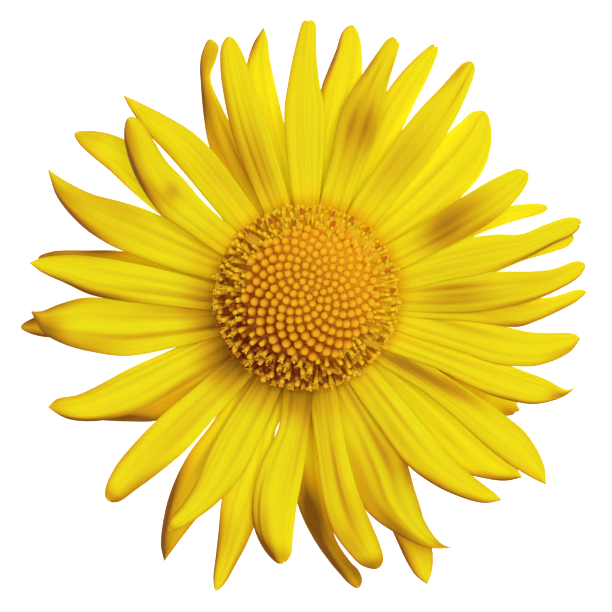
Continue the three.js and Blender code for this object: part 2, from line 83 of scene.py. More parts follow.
# Each ray: layer, crest, tip height, the tip's radius and heading, then rows of radius, right edge and left
# edge. Headings are in degrees, and the rays run clockwise from the top.
RAYS = [
    (2, 1.1, 6.5, (28.95, 89.8), [(10, 83, 98), (15, 83.8, 98.2), (19.5, 85, 97), (22.5, 87, 95),
     (25.5, 88, 93.1), (28.3, 88.3, 91.3), (28.78, 88.8, 90.8)]),
    (0.8, 0.8, 4.5, (28.9, 80.8), [(10, 75.5, 91.5), (17, 75.6, 87.7), (22, 76, 86), (24, 76.3, 84.6),
     (26, 77.4, 83.3), (28, 79, 82.4)]),
    (2.4, 1.7, 6, (28.6, 71.5), [(10, 65.5, 82), (14.3, 67, 80.1), (18, 66.8, 80), (20.5, 67.7, 78.9),
     (23.5, 69.2, 76.3), (27.4, 69.8, 73.3), (28.2, 70.1, 72.6)]),
    (1, 0.8, 4, (29.7, 63), [(10, 57, 75), (15, 59, 72.5), (19, 60.2, 71), (23, 61, 68.7), (26, 61.2, 66.7),
     (29, 61.9, 64.2), (29.5, 62.3, 63.6)]),
    (2.6, 1.7, 5.5, (30, 54.8), [(10, 47, 64), (15, 48.2, 61.7), (20, 48.6, 60.1), (23, 49.7, 58.8),
     (26, 51.2, 57.3), (29.2, 53.2, 56.3), (29.8, 54, 55.6)]),
    (1.5, 1, 5, (26.85, 46), [(10, 31, 51), (16, 31.2, 50.3), (20.3, 33.6, 49.6), (22.4, 35.4, 49.2),
     (24.2, 38.1, 48.6), (26, 42.2, 48)]),
    (3, 1.7, 6.5, (26.45, 28.9), [(10, 16.5, 32.5), (14, 19, 31.7), (17.5, 20.4, 32.4), (20.5, 22, 32.4),
     (23.5, 24.3, 32), (25.8, 27.2, 31)]),
    (0.8, 0.3, 0, (27.15, 20.3), [(10, 15, 27), (15, 18, 27), (19.4, 20, 26), (23, 20, 24.2),
     (26.5, 19.6, 21.5)]),
    (2.4, 1, 6, (29.8, 15.2), [(10, 4, 22), (15, 6.6, 20.5), (18, 7.2, 19.6), (20.8, 8.4, 17.9),
     (23.2, 9.9, 16.1), (26.2, 11.9, 16.7), (28.8, 13.3, 16.6)]),
    (1.2, 0.3, 3.5, (28.7, 12.5), [(10, 3, 15), (18, 6, 15), (23, 9.4, 14.5), (26.4, 10.3, 14),
     (28, 11, 13.6)]),
    (2, 1, 5.5, (29.3, 6.4), [(10, -8.5, 7.5), (17, -5.5, 7.5), (21, -2.9, 6.9), (23.5, -1.1, 6.2),
     (25.8, 1, 6.2), (28.6, 4.2, 7.3)]),
    (1.7, 0.8, 4.5, (29.25, 0.9), [(10, -12, 3), (17, -8.8, 1.5), (22.2, -8.3, 0), (24.1, -6.2, -0.6),
     (25.8, -4.1, -0.2), (28.4, -0.9, 1.3)]),
    (1.3, 0.8, 4, (29.05, -8.8), [(10, -21, -4), (18, -19.9, -8.2), (20.7, -19.8, -8.8),
     (23.4, -18.3, -9.3), (25.5, -16.4, -8.8), (28.2, -12, -8.1)]),
    (0.9, 0.7, 3, (29.8, -18.8), [(10, -34, -20), (15.5, -29.3, -20), (21, -28.6, -19),
     (24.1, -27.1, -19.2), (26.5, -25.3, -19.3), (29, -21.3, -19.9)]),
    (0, 0.3, 0, (25.5, -28.3), [(10, -37, -26), (18, -34, -26), (22, -32.6, -25.5), (24.7, -30.7, -26.2)]),
    (0.6, 0.7, 2, (32.05, -38.3), [(10, -43, -28), (15, -39.6, -29.6), (20.3, -39.5, -30.6),
     (24.3, -40, -31.2), (27.3, -39.8, -32.3), (30.6, -38.9, -35.6)]),
    (0, 0.5, 1.2, (29.65, -40.2), [(10, -52, -36), (16, -49.6, -38.2), (21, -49.4, -38.7),
     (24.5, -48.6, -39), (26.9, -45.6, -39.3), (28.6, -42.9, -39.6)]),
    (1.2, 0.9, 3.5, (29.65, -46.4), [(10, -64, -47), (15, -61.4, -47.8), (20.1, -59.6, -48.4),
     (23, -57, -48.2), (26, -53.4, -47.4), (28.6, -49.5, -46.5)]),
    (0.6, 0.8, 2.6, (30.6, -60.3), [(10, -79, -62), (14.6, -76.8, -59.4), (20, -76, -59.2),
     (23.3, -74.6, -61.2), (26.5, -69.7, -62.5), (29.4, -64.2, -61.8)]),
    (0, 0.3, 0, (33, -67.4), [(10, -68, -55), (17, -69.5, -58.4), (23, -70.4, -61), (27.3, -69.9, -62.9),
     (30.2, -69.4, -64.1), (31.8, -68.7, -65.6)]),
    (1.5, 1, 4, (29.6, -75.6), [(10, -89, -73), (16.5, -86.5, -75.9), (21, -85.6, -75.6),
     (24.5, -84, -74.5), (27.4, -80.7, -73.8), (28.9, -78.5, -74.1)]),
    (0, 0.3, 0, (31.35, -80.2), [(10, -98, -82), (17, -96, -84.5), (22, -92.5, -84.2), (25.5, -88.6, -83.6),
     (28.3, -85, -81), (29.5, -83.4, -79.5), (30.7, -81.8, -79.2)]),
    (2.1, 1.2, 5, (28.3, -95.6), [(10, -104, -87), (14, -102.3, -89.7), (18, -105.2, -91.4),
     (21.5, -105.3, -92.9), (25, -102.8, -93.5), (27.4, -98.8, -93.9)]),
    (1, 0.8, 2.5, (32.5, -107.2), [(10, -116, -101), (13, -114.8, -102.3), (14.4, -114.4, -103.5),
     (16, -114, -103), (19, -113.6, -102.2), (23, -112.8, -102.6), (26.5, -110.6, -103.7),
     (29.2, -109.3, -105), (31.5, -108.3, -106.1)]),
    (2.1, 1.1, 4.5, (28.7, -120.6), [(10, -122, -106), (16, -122.6, -109), (19.5, -121.8, -110.4),
     (22.8, -120.7, -112.8), (25.5, -120.9, -115.8), (28, -121.4, -119.2)]),
    (0.4, 0.5, 0, (31.85, -118.4), [(10, -132, -116), (16, -126.9, -114.5), (21, -126.8, -114.4),
     (25, -125, -116), (28, -122.8, -117.3), (30.6, -120.4, -118.1)]),
    (1.5, 1, 4, (30.1, -134.4), [(10, -141, -125), (16, -140.6, -127.4), (20.4, -140.4, -128.3),
     (24, -139.5, -130), (27, -138.3, -131.5), (29.4, -136.2, -132.7)]),
    (0, 0.3, 1, (26, -150), [(10, -149, -133), (15, -151, -137), (18.5, -152, -139), (20.6, -152.5, -140.6),
     (22.9, -152.5, -144.8), (25.1, -151.5, -148.5)]),
    (1, 0.9, 2.8, (29.75, -156.8), [(10, -160, -143), (15, -158.4, -144.7), (20.4, -157.7, -145.5),
     (23.5, -156.9, -147.4), (26.3, -156.7, -150), (28.5, -157.6, -153.2)]),
    (1.9, 1, 4.2, (29.1, -176.8), [(10, -173, -156), (15, -176.5, -159), (20, -178.9, -161.8),
     (23.3, -179.5, -165.5), (26, -178.1, -168.8), (28, -176.7, -172.2)]),
    (0, 0.3, 0, (30.5, -173.8), [(10, -179, -165), (19, -177, -168), (26, -176.2, -170.2),
     (29.2, -175.3, -172)]),
    (2.5, 1.1, 5.5, (29.35, 173.2), [(10, 172.5, 188), (14.8, 170, 183.7), (19.3, 169.5, 181.4),
     (22.7, 169.7, 179.6), (25.3, 170.3, 177), (28, 171.8, 174.8)]),
    (0.2, 0.3, 1.5, (28.7, 172), [(10, 165, 180), (15, 166, 178), (20.2, 166.6, 176.5), (23.5, 168.3, 176),
     (27.5, 170.3, 174.2)]),
    (1.2, 0.9, 3.5, (30.4, 154), [(10, 151, 170), (15, 151.1, 168.4), (19, 151.9, 166.6), (22, 153.3, 165),
     (25, 154.7, 162.5), (28.3, 154.6, 158.4)]),
    (0.3, 0.4, 0, (30.05, 145), [(10, 139, 156), (15, 139, 152.5), (21, 139, 149.4), (24.8, 139.3, 147.5),
     (27.2, 140.9, 146.9), (29.2, 143.3, 146.1)]),
    (2.5, 1.5, 6.2, (26.5, 135.2), [(10, 138, 154), (14.5, 138.1, 151.7), (17.5, 136.8, 150.6),
     (20.5, 136.3, 147), (23, 134.7, 143.4), (25.6, 133.8, 138.6)]),
    (1.2, 0.9, 4.2, (28.6, 132.5), [(10, 121, 139), (14, 122.2, 136.5), (18, 123.3, 135),
     (21, 125.2, 134.5), (24, 128.2, 134.3), (27, 131.1, 133.4)]),
    (0.4, 0.5, 3, (28.95, 110.9), [(10, 112, 127), (15, 113.5, 125), (18.7, 114, 123.2), (22, 114.5, 119.7),
     (25.1, 114, 116.5), (26.7, 111.1, 115), (27.9, 109.7, 113.4)]),
    (1.7, 1.2, 5.5, (28.45, 106.9), [(10, 101, 117), (15, 102.8, 115.9), (19, 103.6, 114.6),
     (22.5, 104.4, 112.7), (25.5, 104.8, 110.9), (27.8, 105.8, 108.8)]),
    (0.6, 0.6, 2.5, (28.65, 99.3), [(10, 94, 109), (16, 97, 108.3), (20, 98.3, 107.5), (23.2, 98.9, 106.2),
     (25.5, 99.1, 104.2), (27.3, 98.9, 101.8)]),
]
POINTED = {13, 14, 16, 17, 18, 19, 20, 26, 28, 29, 30, 32, 34, 37, 40}

# Grid of a ray: its rows are closer near the tip and its columns near the margins
RAY_ROWS = 84
RAY_COLUMNS = 37
LAST_ROW = 0.997
ROW_CROWDING = 1.35
EVEN_COLUMNS = 0.6
TIP_NECK = 0.9
TOOTH_REACH = 0.6

# Relief of a ray: margins lifted over or bent under their neighbours, ripples, and margins that roll down
EDGE_LIFT = 0.32
LIFT_GROWTH = 4
MARGIN_OUT = 0.04
MARGIN_ROLL = 0.06
RIPPLE = (0.03, 0.08)
RIPPLE_TURN = 9
RIPPLE_GROWTH = 2
# Grooves: range of places across, range of depths, and half width. Each fade is a start and a span.
BROAD_GROOVE = ((0.26, 0.44), (0.8, 1.7), 0.12)
FINE_GROOVE = ((-0.85, 0.85), (0.3, 0.8), 0.06)
FINE_GROOVES = 4
GROOVE = 0.016
# Grooves also get painted shade in their hollows
GROOVE_SHADE = 0.2
GROOVE_END = 0.3
GROOVE_FADE = (0.3, 0.6)

# Painted shade on a ray: margins that face away from the light, the disc's shadow on the roots, margins near
# the tips on the side away from the key light, and margins under a neighbour
LIGHT_SIDE = Vector((0.8, 0.6, 0))
MARGIN_LINE = 0.8
MARGIN_SHADE = 0.45
LINE_REACH = 0.12
SHADE_REACH = 0.5
MARK_GROWTH = 3
ROOT_SHADE = 1.3
ROOT_FADE = (9.3, 5.5)
END_SHADE = 1.1
END_FADE = (0.45, 0.35)
COVERED_SHADE = 0.6
COVERED_FADE = 1.2
# Spots of painted shade on a ray, mostly shadows of neighbouring rays and shade in folds; a negative strength
# paints
# light. In hundredths: run, across, their spreads, and strength. The run goes from 0 at the root to 1 at the
# tip, and across from -1 at the right margin to 1 at the left one.
PAINTED_SHADE_SPOTS = {
    1: [(35, 10, 30, 12, 25), (90, 15, 12, 12, 20)],
    2: [(10, 80, 20, 40, 110), (82, 90, 18, 18, 120), (55, 90, 25, 25, 55)],
    3: [(48, 30, 13, 30, 75), (50, -35, 12, 30, 80), (50, 0, 30, 160, 30), (30, -10, 15, 50, 25),
        (75, 10, 15, 15, 50), (60, 80, 30, 30, 25), (45, -80, 15, 25, 60), (82, 90, 10, 30, 60),
        (82, -90, 10, 30, 50)],
    4: [(25, 60, 30, 40, 30), (80, 100, 15, 20, 50)],
    5: [(38, 0, 22, 120, 45), (85, -30, 12, 12, 60), (93, 60, 8, 30, 60), (83, 100, 10, 25, 50)],
    6: [(50, 30, 60, 7, 40)],
    7: [(37, -10, 15, 180, 95), (55, 40, 18, 90, 75), (60, -90, 15, 30, 80)],
    9: [(80, -90, 25, 16, 140), (20, -30, 30, 40, 25), (50, 10, 30, 10, 25)],
    10: [(80, 60, 25, 30, 90)],
    11: [(30, 40, 16, 20, 70), (33, -10, 18, 18, 65), (30, -50, 20, 15, 40), (32, 0, 25, 120, 35),
         (75, -90, 30, 14, 80), (75, 30, 15, 60, 30)],
    12: [(40, 40, 28, 90, 75), (65, -90, 12, 25, 100), (87, -80, 10, 30, 60)],
    13: [(95, -60, 10, 40, 50), (35, 30, 20, 30, 35)],
    14: [(95, -20, 6, 60, 110), (75, -95, 25, 15, 90), (25, 20, 25, 15, 40)],
    15: [(35, 30, 30, 90, 150), (95, -50, 10, 70, 90), (72, -20, 10, 50, 50)],
    16: [(8, -10, 12, 60, 95), (22, 10, 12, 45, 110), (40, 60, 14, 40, 100), (35, 10, 10, 25, 60)],
    17: [(92, -80, 12, 40, 90), (60, -20, 10, 10, 30), (97, -40, 5, 60, 60)],
    18: [(25, 30, 20, 12, 40), (40, -50, 20, 20, 50), (75, -95, 35, 12, 70), (72, -75, 14, 30, 60),
         (92, -70, 10, 40, 60)],
    19: [(30, 35, 35, 14, 60), (50, -15, 30, 10, 90), (15, 90, 30, 25, 110), (78, -50, 16, 28, 110),
         (50, -68, 20, 25, 80), (97, 40, 5, 60, 90), (55, 95, 9, 25, 100), (82, -90, 10, 30, 70),
         (45, 50, 15, 20, 60)],
    20: [(35, 30, 35, 150, 160), (78, 50, 10, 100, 70), (83, -90, 12, 40, 80)],
    21: [(40, -60, 40, 14, 40), (50, 5, 30, 20, 100), (70, 30, 15, 40, 30), (98, 0, 4, 150, 120),
         (15, 0, 20, 100, 10), (85, -40, 12, 40, 60)],
    22: [(8, 50, 15, 250, 90), (62, -20, 20, 80, 220), (85, -75, 15, 50, 150), (92, 50, 12, 80, 120),
         (72, 70, 15, 50, 50)],
    23: [(72, -68, 20, 7, 100), (95, -70, 8, 50, 130), (35, 60, 30, 14, 50), (40, 95, 25, 15, 30),
         (12, 90, 15, 40, 90), (97, 20, 6, 100, 70), (87, -95, 10, 30, 80), (10, -20, 10, 50, 50),
         (75, 95, 25, 25, -100), (82, -40, 12, 30, 60)],
    24: [(55, 80, 20, 30, 70), (80, 10, 15, 12, 35), (4, 30, 8, 100, 30), (75, -40, 12, 50, 40),
         (15, 70, 15, 40, -30), (85, -95, 15, 30, 60), (90, 90, 15, 30, 50)],
    25: [(98, 0, 3, 200, 80)],
    26: [(88, -100, 30, 55, 200), (100, -10, 10, 90, 150), (60, 0, 30, 200, 30), (90, 10, 15, 100, 30),
         (40, 20, 20, 50, 50)],
    27: [(10, 0, 15, 150, 20), (98, 0, 4, 150, 90), (50, 10, 30, 40, 25), (90, 75, 20, 40, 60),
         (12, -70, 10, 40, 50), (5, 90, 8, 30, -60)],
    28: [(45, 20, 40, 200, 80), (85, -90, 25, 70, 160), (90, 85, 20, 50, 260)],
    29: [(85, 90, 15, 20, 110), (40, 98, 30, 25, 90), (12, 50, 12, 50, 50), (98, -10, 6, 120, 60),
         (95, 85, 8, 40, 60)],
    30: [(35, 33, 40, 10, 60), (93, 40, 9, 90, 130), (70, 60, 20, 25, 50), (20, -80, 30, 30, 70),
         (80, 95, 15, 20, 30), (86, -100, 12, 25, 70), (8, 10, 8, 40, 50), (100, 0, 4, 100, 90)],
    31: [(97, 0, 15, 200, 80), (88, 90, 10, 40, 100), (90, -70, 12, 50, 100)],
    32: [(66, 95, 22, 30, 150), (20, 20, 25, 12, 50), (5, 0, 10, 100, 40)],
    33: [(90, 0, 28, 300, 160), (45, 0, 30, 300, 30), (65, -95, 12, 30, 70), (84, -90, 12, 30, -70)],
    34: [(85, 95, 20, 32, 150), (92, 40, 7, 50, 50), (15, -20, 25, 12, 50), (10, -85, 20, 25, 60),
         (65, 70, 20, 40, 40), (84, 0, 12, 60, 60), (58, -60, 18, 60, 45)],
    35: [(25, 80, 25, 80, 20), (95, -30, 10, 100, 40), (52, 90, 14, 30, -80)],
    36: [(78, 95, 22, 35, 170), (50, -10, 6, 40, 70), (58, 60, 12, 40, 50), (95, 35, 20, 50, 80)],
    37: [(35, -10, 15, 30, 30), (30, -70, 25, 25, 40), (25, 90, 20, 30, -80)],
    38: [(30, -30, 35, 100, 75), (75, 85, 15, 40, 140), (50, 50, 20, 40, 60), (93, 10, 10, 100, 60),
         (72, 10, 15, 60, 80)],
    39: [(28, 10, 25, 70, 70), (55, 85, 40, 25, 60), (40, 35, 35, 5, 50), (35, -15, 35, 5, 50)],
    40: [(30, 0, 30, 15, 30), (93, 80, 8, 50, 90)],
}
# Bends of a ray's sheet, given in the same way, with the rise in hundredths of a millimetre
BENDS = {
    2: [(80, 100, 25, 30, -60)],
    3: [(38, 0, 15, 60, -25)],
    5: [(93, 70, 8, 60, -40)],
    6: [(50, 30, 60, 9, -12)],
    9: [(85, -100, 25, 30, -50)],
    14: [(97, 0, 6, 80, 30)],
    19: [(97, 0, 6, 80, 30)],
    23: [(70, -85, 25, 13, 22)],
    25: [(100, 0, 6, 200, -50)],
    26: [(85, -100, 25, 40, -40)],
    30: [(40, 33, 40, 13, -22), (96, 40, 10, 100, 20)],
    32: [(60, 100, 20, 25, -50)],
    34: [(80, 100, 30, 20, -40)],
    36: [(75, 100, 30, 40, -70), (50, -10, 10, 40, -15)],
    38: [(70, 100, 20, 60, -40), (90, -100, 12, 80, 40)],
    39: [(30, 15, 17, 40, -20)],
    40: [(94, 100, 9, 50, 50)],
}
# Notches in a ray's tip: place across in mm from the tip, half width and depth
NOTCHES = {
    1: [(0.03, 0.2, 0.17)],
    2: [(0.25, 0.14, 0.12)],
    3: [(-0.43, 0.11, 0.4), (-0.12, 0.08, 0.1)],
    4: [(-0.03, 0.12, 0.3)],
    7: [(-0.3, 0.2, 0.08)],
    8: [(0, 0.14, 0.12)],
    9: [(-0.3, 0.12, 0.3), (0.1, 0.1, 0.1)],
    15: [(0.5, 0.25, 0.5), (-0.4, 0.2, 0.3)],
    23: [(-0.1, 0.08, 0.12), (0.35, 0.09, 0.2)],
    27: [(0.2, 0.12, 0.12), (-0.15, 0.1, 0.1)],
}

# Disc: closed buds and open florets stand on one golden-angle spiral, whose pitch grows towards the rim
DOME_TOP = 13.7
DOME_FALL = 0.04
PITCH_MIDDLE = 0.80
PITCH_GROWTH = 0.034
HEXAGON = 0.866
SPIRAL_START = 0.1
SPIRAL_SHIFT = Vector((0.75, 0.95, 0))
LOBES = 5
PLAIN_SEED = 0.5
# The side of the head that has opened longest is darker, from age and from painted shade away from the key
# light, and this is its heading
OLD_AND_SHADED_SIDE = radians(228)
MIDDLE_AGE_AND_SHADE = 0.45
AGE_AND_SHADE_REACH = 7.2
RING_AGE_AND_SHADE = 1.7

# Closed buds: rings between two angles, on a neck
BUD_REACH = 6.85
BUD_FILL = 0.54
BUD_SIZES = (0.95, 1.03)
BUD_SIDES = 15
BUD_RINGS = 9
BUD_LOBES = 0.03
BUD_WANDER = 0.03
BUD_TWIST = 0.01
BUD_RISE = 0.07
BUD_LEAN = 2.6
BUD_STRETCH = 1.05
BUD_BOTTOM = -60
BUD_ARC = 148
NECK_DEPTH = 1.3
NECK_SHARE = 0.5

# Open florets in their ring. A pair that by_share takes is a young value and what age adds to it.
FLORET_REACH = 9.9
FLORET_SPREAD = 1.05
FLORET_SIDES = 10
FLORET_TOP = 12.3
FLORET_FALL = 1.7
FLORET_TWIST = 0.03
FLORET_LEAN = 0.06
FLORET_WANDER = 0.2
FLORET_SIZE = (0.21, 0.07)
FLORET_SIZES = (0.9, 1.1)
FLORET_LENGTH = (1.5, 0.2)
FLORET_LENGTHS = (-0.25, 0.3)
FOOT_DEPTH = (0.7, 0.4)
# Least tone of a floret's foot on the young side: painted light against the shade between the florets
YOUNG_FOOT_LIGHT = 0.9
CLUB_CHANCE = 0.8
FLORET_LAYERS = 4
LAYER_TWIST = 0.085
LAYER_INSET = 0.2
LAYER_DROP = (0.1, 0.4)
# Lower layers are dimmer and darker on the old side: painted shade under the layers above
LAYER_DIM = 0.25
LAYER_SHADE = 0.2
YOUNG_GAPS = 0.5
# Rows of florets round the side of the disc: radius and height of the foot, then of the mouth
RIM_ROWS = [(8.6, 9.6, 9.7, 10.5), (8.8, 8.7, 9.92, 9.6), (9.1, 6.5, 9.45, 8.7)]
RIM_FLORETS = 96
RIM_YOUNG = 0.4
# Lower rows of the rim are dimmer on the old side: painted shade
RIM_DIM = 0.5
RIM_WANDER = (-0.3, 0.25)
RIM_SIZE = (0.2, 0.08)
RIM_SIZES = (0.85, 1.15)

# Turned shapes from foot to end: share of the length, share of the size, and tone, low for painted shade at
# the foot and high for a painted highlight at the end. An arm is in mm.
CLUB = [(0, 0.6, 0.05), (0.3, 0.7, 0.45), (0.65, 0.88, 0.75), (0.9, 1, 1), (0.98, 0.85, 1), (1, 0.5, 0.9)]
CLUB_LOBES = 0.07
TRUMPET = [(0, 0.55, 0.05), (0.35, 0.65, 0.5), (0.6, 0.85, 0.8), (0.8, 1, 0.95), (0.93, 1.12, 1), (1, 1.3, 1),
           (0.97, 0.8, 0.7), (0.85, 0.4, 0.4)]
TRUMPET_LOBES = 0.12
STYLE = [(0, 0.8, 0.5), (0.35, 1, 0.85), (0.4, 1, 1), (0.9, 0.9, 1), (1, 0.4, 1)]
STYLE_SIDES = 7
STYLE_FROM = 0.7
STYLE_LENGTHS = (0.4, 0.6)
STYLE_SHARE = 0.4
ARM = [(-0.05, 0.1, 0.9), (0.2, 0.1, 1), (0.36, 0.05, 1)]
ARM_CHANCE = 0.5
ARM_OUT = (0.2, 0.7)
ARM_RISE = (0, 0.4)

# Spent ends of styles on the open florets: radius and heading, then how far in they start and out they reach
SPENT_ENDS = [
    (9.3, 133), (9.25, 123), (8.7, 116.5), (8.65, 112.5), (8.8, 94), (7.7, 101), (8.95, 72.5), (9.2, 60),
    (9.3, 48), (8.95, 35), (8.9, 26), (8.75, 17), (8.0, 70), (8.9, 4), (8.9, -30.5), (9.0, -45.5),
    (8.95, -54.5), (9.15, -68), (9.3, 154), (9.0, 218.5), (8.85, 232), (8.8, 239.5), (9.2, 269.5),
    (9.1, 166), (8.6, 190), (9.0, 204), (9.1, 250), (8.9, 282),
]
SPENT_IN = 0.9
SPENT_OUT = 0.3
SPENT_RISE = (0.05, 0.08)
SPENT_SIZES = (0.17, 0.23)

# Flat florets that have folded open: radius, heading, where they point, length and half width
FLAPS = [(8.05, 134, 150, 1.9, 0.5), (8.4, -36.5, -22, 2.2, 0.4)]
FLAP_GRID = 9
FLAP_TEETH = (0.72, 1.05)
FLAP_EDGES = (0.88, 1.12)
FLAP_TAPER = (0.15, 0.6)
FLAP_ARCH = 0.25
FLAP_PLEAT = 0.12
FLAP_THICKNESS = 0.15
FLAP_DROOP = 0.25
FLAP_SINK = 0.02
FLAP_TONES = (0.1, 0.7)
FLAP_AGE_AND_SHADE = 0.7

# Floor between the florets: height and radius of its rim. Its steps are a start and a span.
BED_OUTLINE = [(6.35, 9.2), (8.2, 9.2), (8.8, 8.9), (9.6, 8.3), (10.1, 7.6)]
BED_STEPS = 24
BED_SIDES = 240
BUD_BED_DEPTH = 0.08
BED_DEPTH = 1.0
BED_STEP = (BUD_REACH - 0.6, 1.2)
BED_RIM = (BUD_REACH, 1.5)
BED_EDGE = (8.5, 0.9)
BED_TILT = 0.6
BED_FILL = 1.4
FILL_POWER = 1.5
EDGE_FALL = 0.6
PIT_START = (BUD_REACH - 1.2, 0.8)
PIT_DEPTH = 0.2
# Bed tones: low as painted shade between florets, higher in the pit, higher on the young side as painted
# light, and streaked
PIT_TONE = 0.15
BED_SHADE_TONE = 0.1
BED_YOUNG_LIGHT_TONE = 0.5
STREAK_TONE = 0.4

# Stem stub and receptacle, as in the solids: radius and height. The ribs fade from a start over a span.
STEM_OUTLINE = [
    (0.0, 0.22), (0.9, 0.12), (1.5, 0.0), (1.78, 0.0), (1.85, 0.08), (1.83, 0.7), (1.8, 1.4), (1.82, 2.0),
    (2.2, 2.8), (3.0, 3.5), (4.8, 4.1), (6.6, 4.72), (8.2, 5.3), (8.5, 5.6), (8.5, 6.0), (4.0, 6.0),
    (0.0, 6.0),
]
STEM_SIDES = 120
STEM_RIBS = 12
RIB_DEPTH = 0.07
RIB_INSIDE = (1.2, 0.5)
RIB_OUTSIDE = (1.6, 2.5)
TONE_RADIUS = 9
TONE_HEIGHT = 6

# Green bracts on a saucer, as in the solids. Rows of a bract: radius, half width and height of its upper face
SAUCER_OUTLINE = [(3.3, 2.4), (5.3, 3.1), (7.4, 3.9), (9.4, 4.7), (9.7, 5.2), (9.7, 5.9), (8.85, 5.9),
                  (8.7, 5.05), (6.0, 4.15), (3.3, 3.2)]
SAUCER_TONE = (0.3, 0.5, 0.5, 1)
OUTER_BRACT = [(4.2, 0.45, 2.95), (6.6, 0.95, 3.75), (9.4, 1.05, 4.65), (11.4, 0.7, 4.75), (12.9, 0.12, 4.3)]
INNER_BRACT = [(6.4, 0.45, 4.0), (8.2, 0.85, 4.65), (9.8, 0.9, 5.25), (11.6, 0.6, 5.4), (13.1, 0.12, 5.1)]
BRACTS = 22
BRACT_PHASE = 133
BRACT_ROWS = 26
BRACT_COLUMNS = 13
BRACT_KEEL = 0.12
BRACT_RIPPLE = 0.02
BRACT_RIPPLE_TURN = 14
BRACT_TIP = 0.35
BRACT_END = 0.02
BRACT_BEVEL = 0.12
BRACT_THICKNESS = 0.4

# Hairs. Those of the stem stand from the lowest height over a span, and further out where it widens.
STEM_HAIRS = 420
STEM_HAIR_WIDTH = 0.022
STEM_HAIR_LENGTHS = (0.25, 0.6)
STEM_RADIUS = 1.78
HAIR_LOWEST = 0.3
HAIR_SPAN = 2.5
WIDENING = 0.4
WIDENING_START = 0.7
STEM_HAIR_TURN = 0.5
STEM_HAIR_RISE = (-0.2, 0.5)
BRACT_HAIRS = 16
BRACT_HAIR_WIDTH = 0.018
BRACT_HAIR_LENGTHS = (0.2, 0.4)
BRACT_HAIR_OUT = (0, 0.8)
BRACT_HAIR_RISE = (-0.5, 0.3)
BRACT_HAIR_ROWS = (BRACT_ROWS // 3, BRACT_ROWS - 3)
HAIR_TONE = (0.9, 0.5, 0, 1)
HAIR_SUNK = 0.05
HAIR_MIDDLE = 0.7
HAIR_END = 0.15


def linear(red, green, blue):
    """A colour as eyes see it, 0 to 255, as the linear colour that a shader takes."""
    def channel(value):
        value /= 255
        return value / 12.92 if value <= 0.04045 else ((value + 0.055) / 1.055) ** 2.4
    return (channel(red), channel(green), channel(blue), 1.0)


# Colours of the rays. The root colour is painted light against the disc's shadow, the foot colour a painted
# shade hue where the rim florets shade it, and amber and brown are painted shade.
PETAL_LIT = linear(241, 240, 27)
PETAL_VEIN = linear(231, 200, 22)
PETAL_ROOT_LIGHT = linear(252, 236, 26)
PETAL_FOOT_SHADE = linear(252, 208, 24)
PETAL_SHADE_AMBER = linear(208, 166, 24)
PETAL_SHADE_BROWN = linear(126, 84, 20)
# Colours of the disc at a floret's foot, middle and top, and of its spent ends. The foot is painted shade
# between the florets and the top a painted highlight; the old side is darker from age and painted shade.
BUD_YOUNG_LIT = linear(246, 152, 20), linear(248, 162, 22), linear(250, 208, 30)
BUD_OLD_SHADED = linear(200, 70, 26), linear(152, 50, 20), linear(242, 184, 30)
FLORET_YOUNG_LIT = linear(255, 174, 26), linear(255, 200, 28), linear(255, 222, 34)
FLORET_OLD_SHADED = linear(160, 64, 28), linear(148, 52, 22), linear(255, 200, 46)
SPENT_YOUNG_LIT = linear(214, 122, 22)
SPENT_OLD_SHADED = linear(96, 30, 14)
# Colours of the stem and the bracts
STEM_GREEN = linear(126, 154, 69), linear(104, 134, 52)
PITH = linear(206, 212, 150)
BRACT_GREEN = linear(116, 146, 62), linear(84, 116, 44)

# Surfaces: values of the shader's sockets in this order, then strength and distance of the relief
SOCKETS = ("Roughness", "Specular IOR Level", "Subsurface Weight", "Subsurface Radius", "Subsurface Scale")
PETAL_SURFACE = (0.5, 0.02, 0.25, (1.0, 0.6, 0.05), 0.0005)
PETAL_BUMP = (0.25, 0.00008)
DISC_SURFACE = (0.4, 0.08, 0.45, (1.0, 0.55, 0.08), 0.0005)
DISC_BUMP = (0.15, 0.00004)
GREEN_SURFACE = (0.6, 0.25)
GREEN_BUMP = (0.4, 0.0001)
FLOOR_SURFACE = {
    "Base Color": (0.9, 0.9, 0.9, 1),
    "Roughness": 0.9,
    "Emission Color": (1, 1, 1, 1),
    "Emission Strength": 0.85,
}
# Streaks: how fine they are in three directions. A range is where a change starts and where it is complete.
PETAL_STREAKS = (26.0, 1.6, 40.0)
GREEN_STREAKS = (30.0, 2.0, 6.0)
STREAK_DETAIL = 3.0
VEIN_RANGE = (0.42, 0.75)
VEIN_STRENGTH = 0.35
ROOT_LIGHT_RANGE = (0.22, 0.05)
FOOT_SHADE_RANGE = (0.08, 0.02)
SHADE_AMBER_RANGE = (0, 0.5)
SHADE_BROWN_RANGE = (0.5, 1.0)
YOUNG_LIT_MIDDLE = 0.52
OLD_SHADED_MIDDLE = 0.7
TOP_START = 0.97
SEED_CHANGE = 0.2
GRAIN_SCALE = 6000.0
PITH_RANGE = (0.2, 0.15)
PITH_HEIGHT = 0.05


def polar(radius, turn, z=0.0):
    return Vector((radius * cos(turn), radius * sin(turn), z))


def heading(degrees):
    return polar(1, radians(degrees))


def smooth(value):
    value = min(max(value, 0), 1)
    return value * value * (3 - 2 * value)


def eased(value, start, span):
    """A soft step from 0 at the start to 1 after the span."""
    return smooth((value - start) / span)


def by_share(pair, share):
    """The first value of a pair and a share of the second."""
    return pair[0] + pair[1] * share


def sway(rng, most):
    return rng.uniform(-most, most)


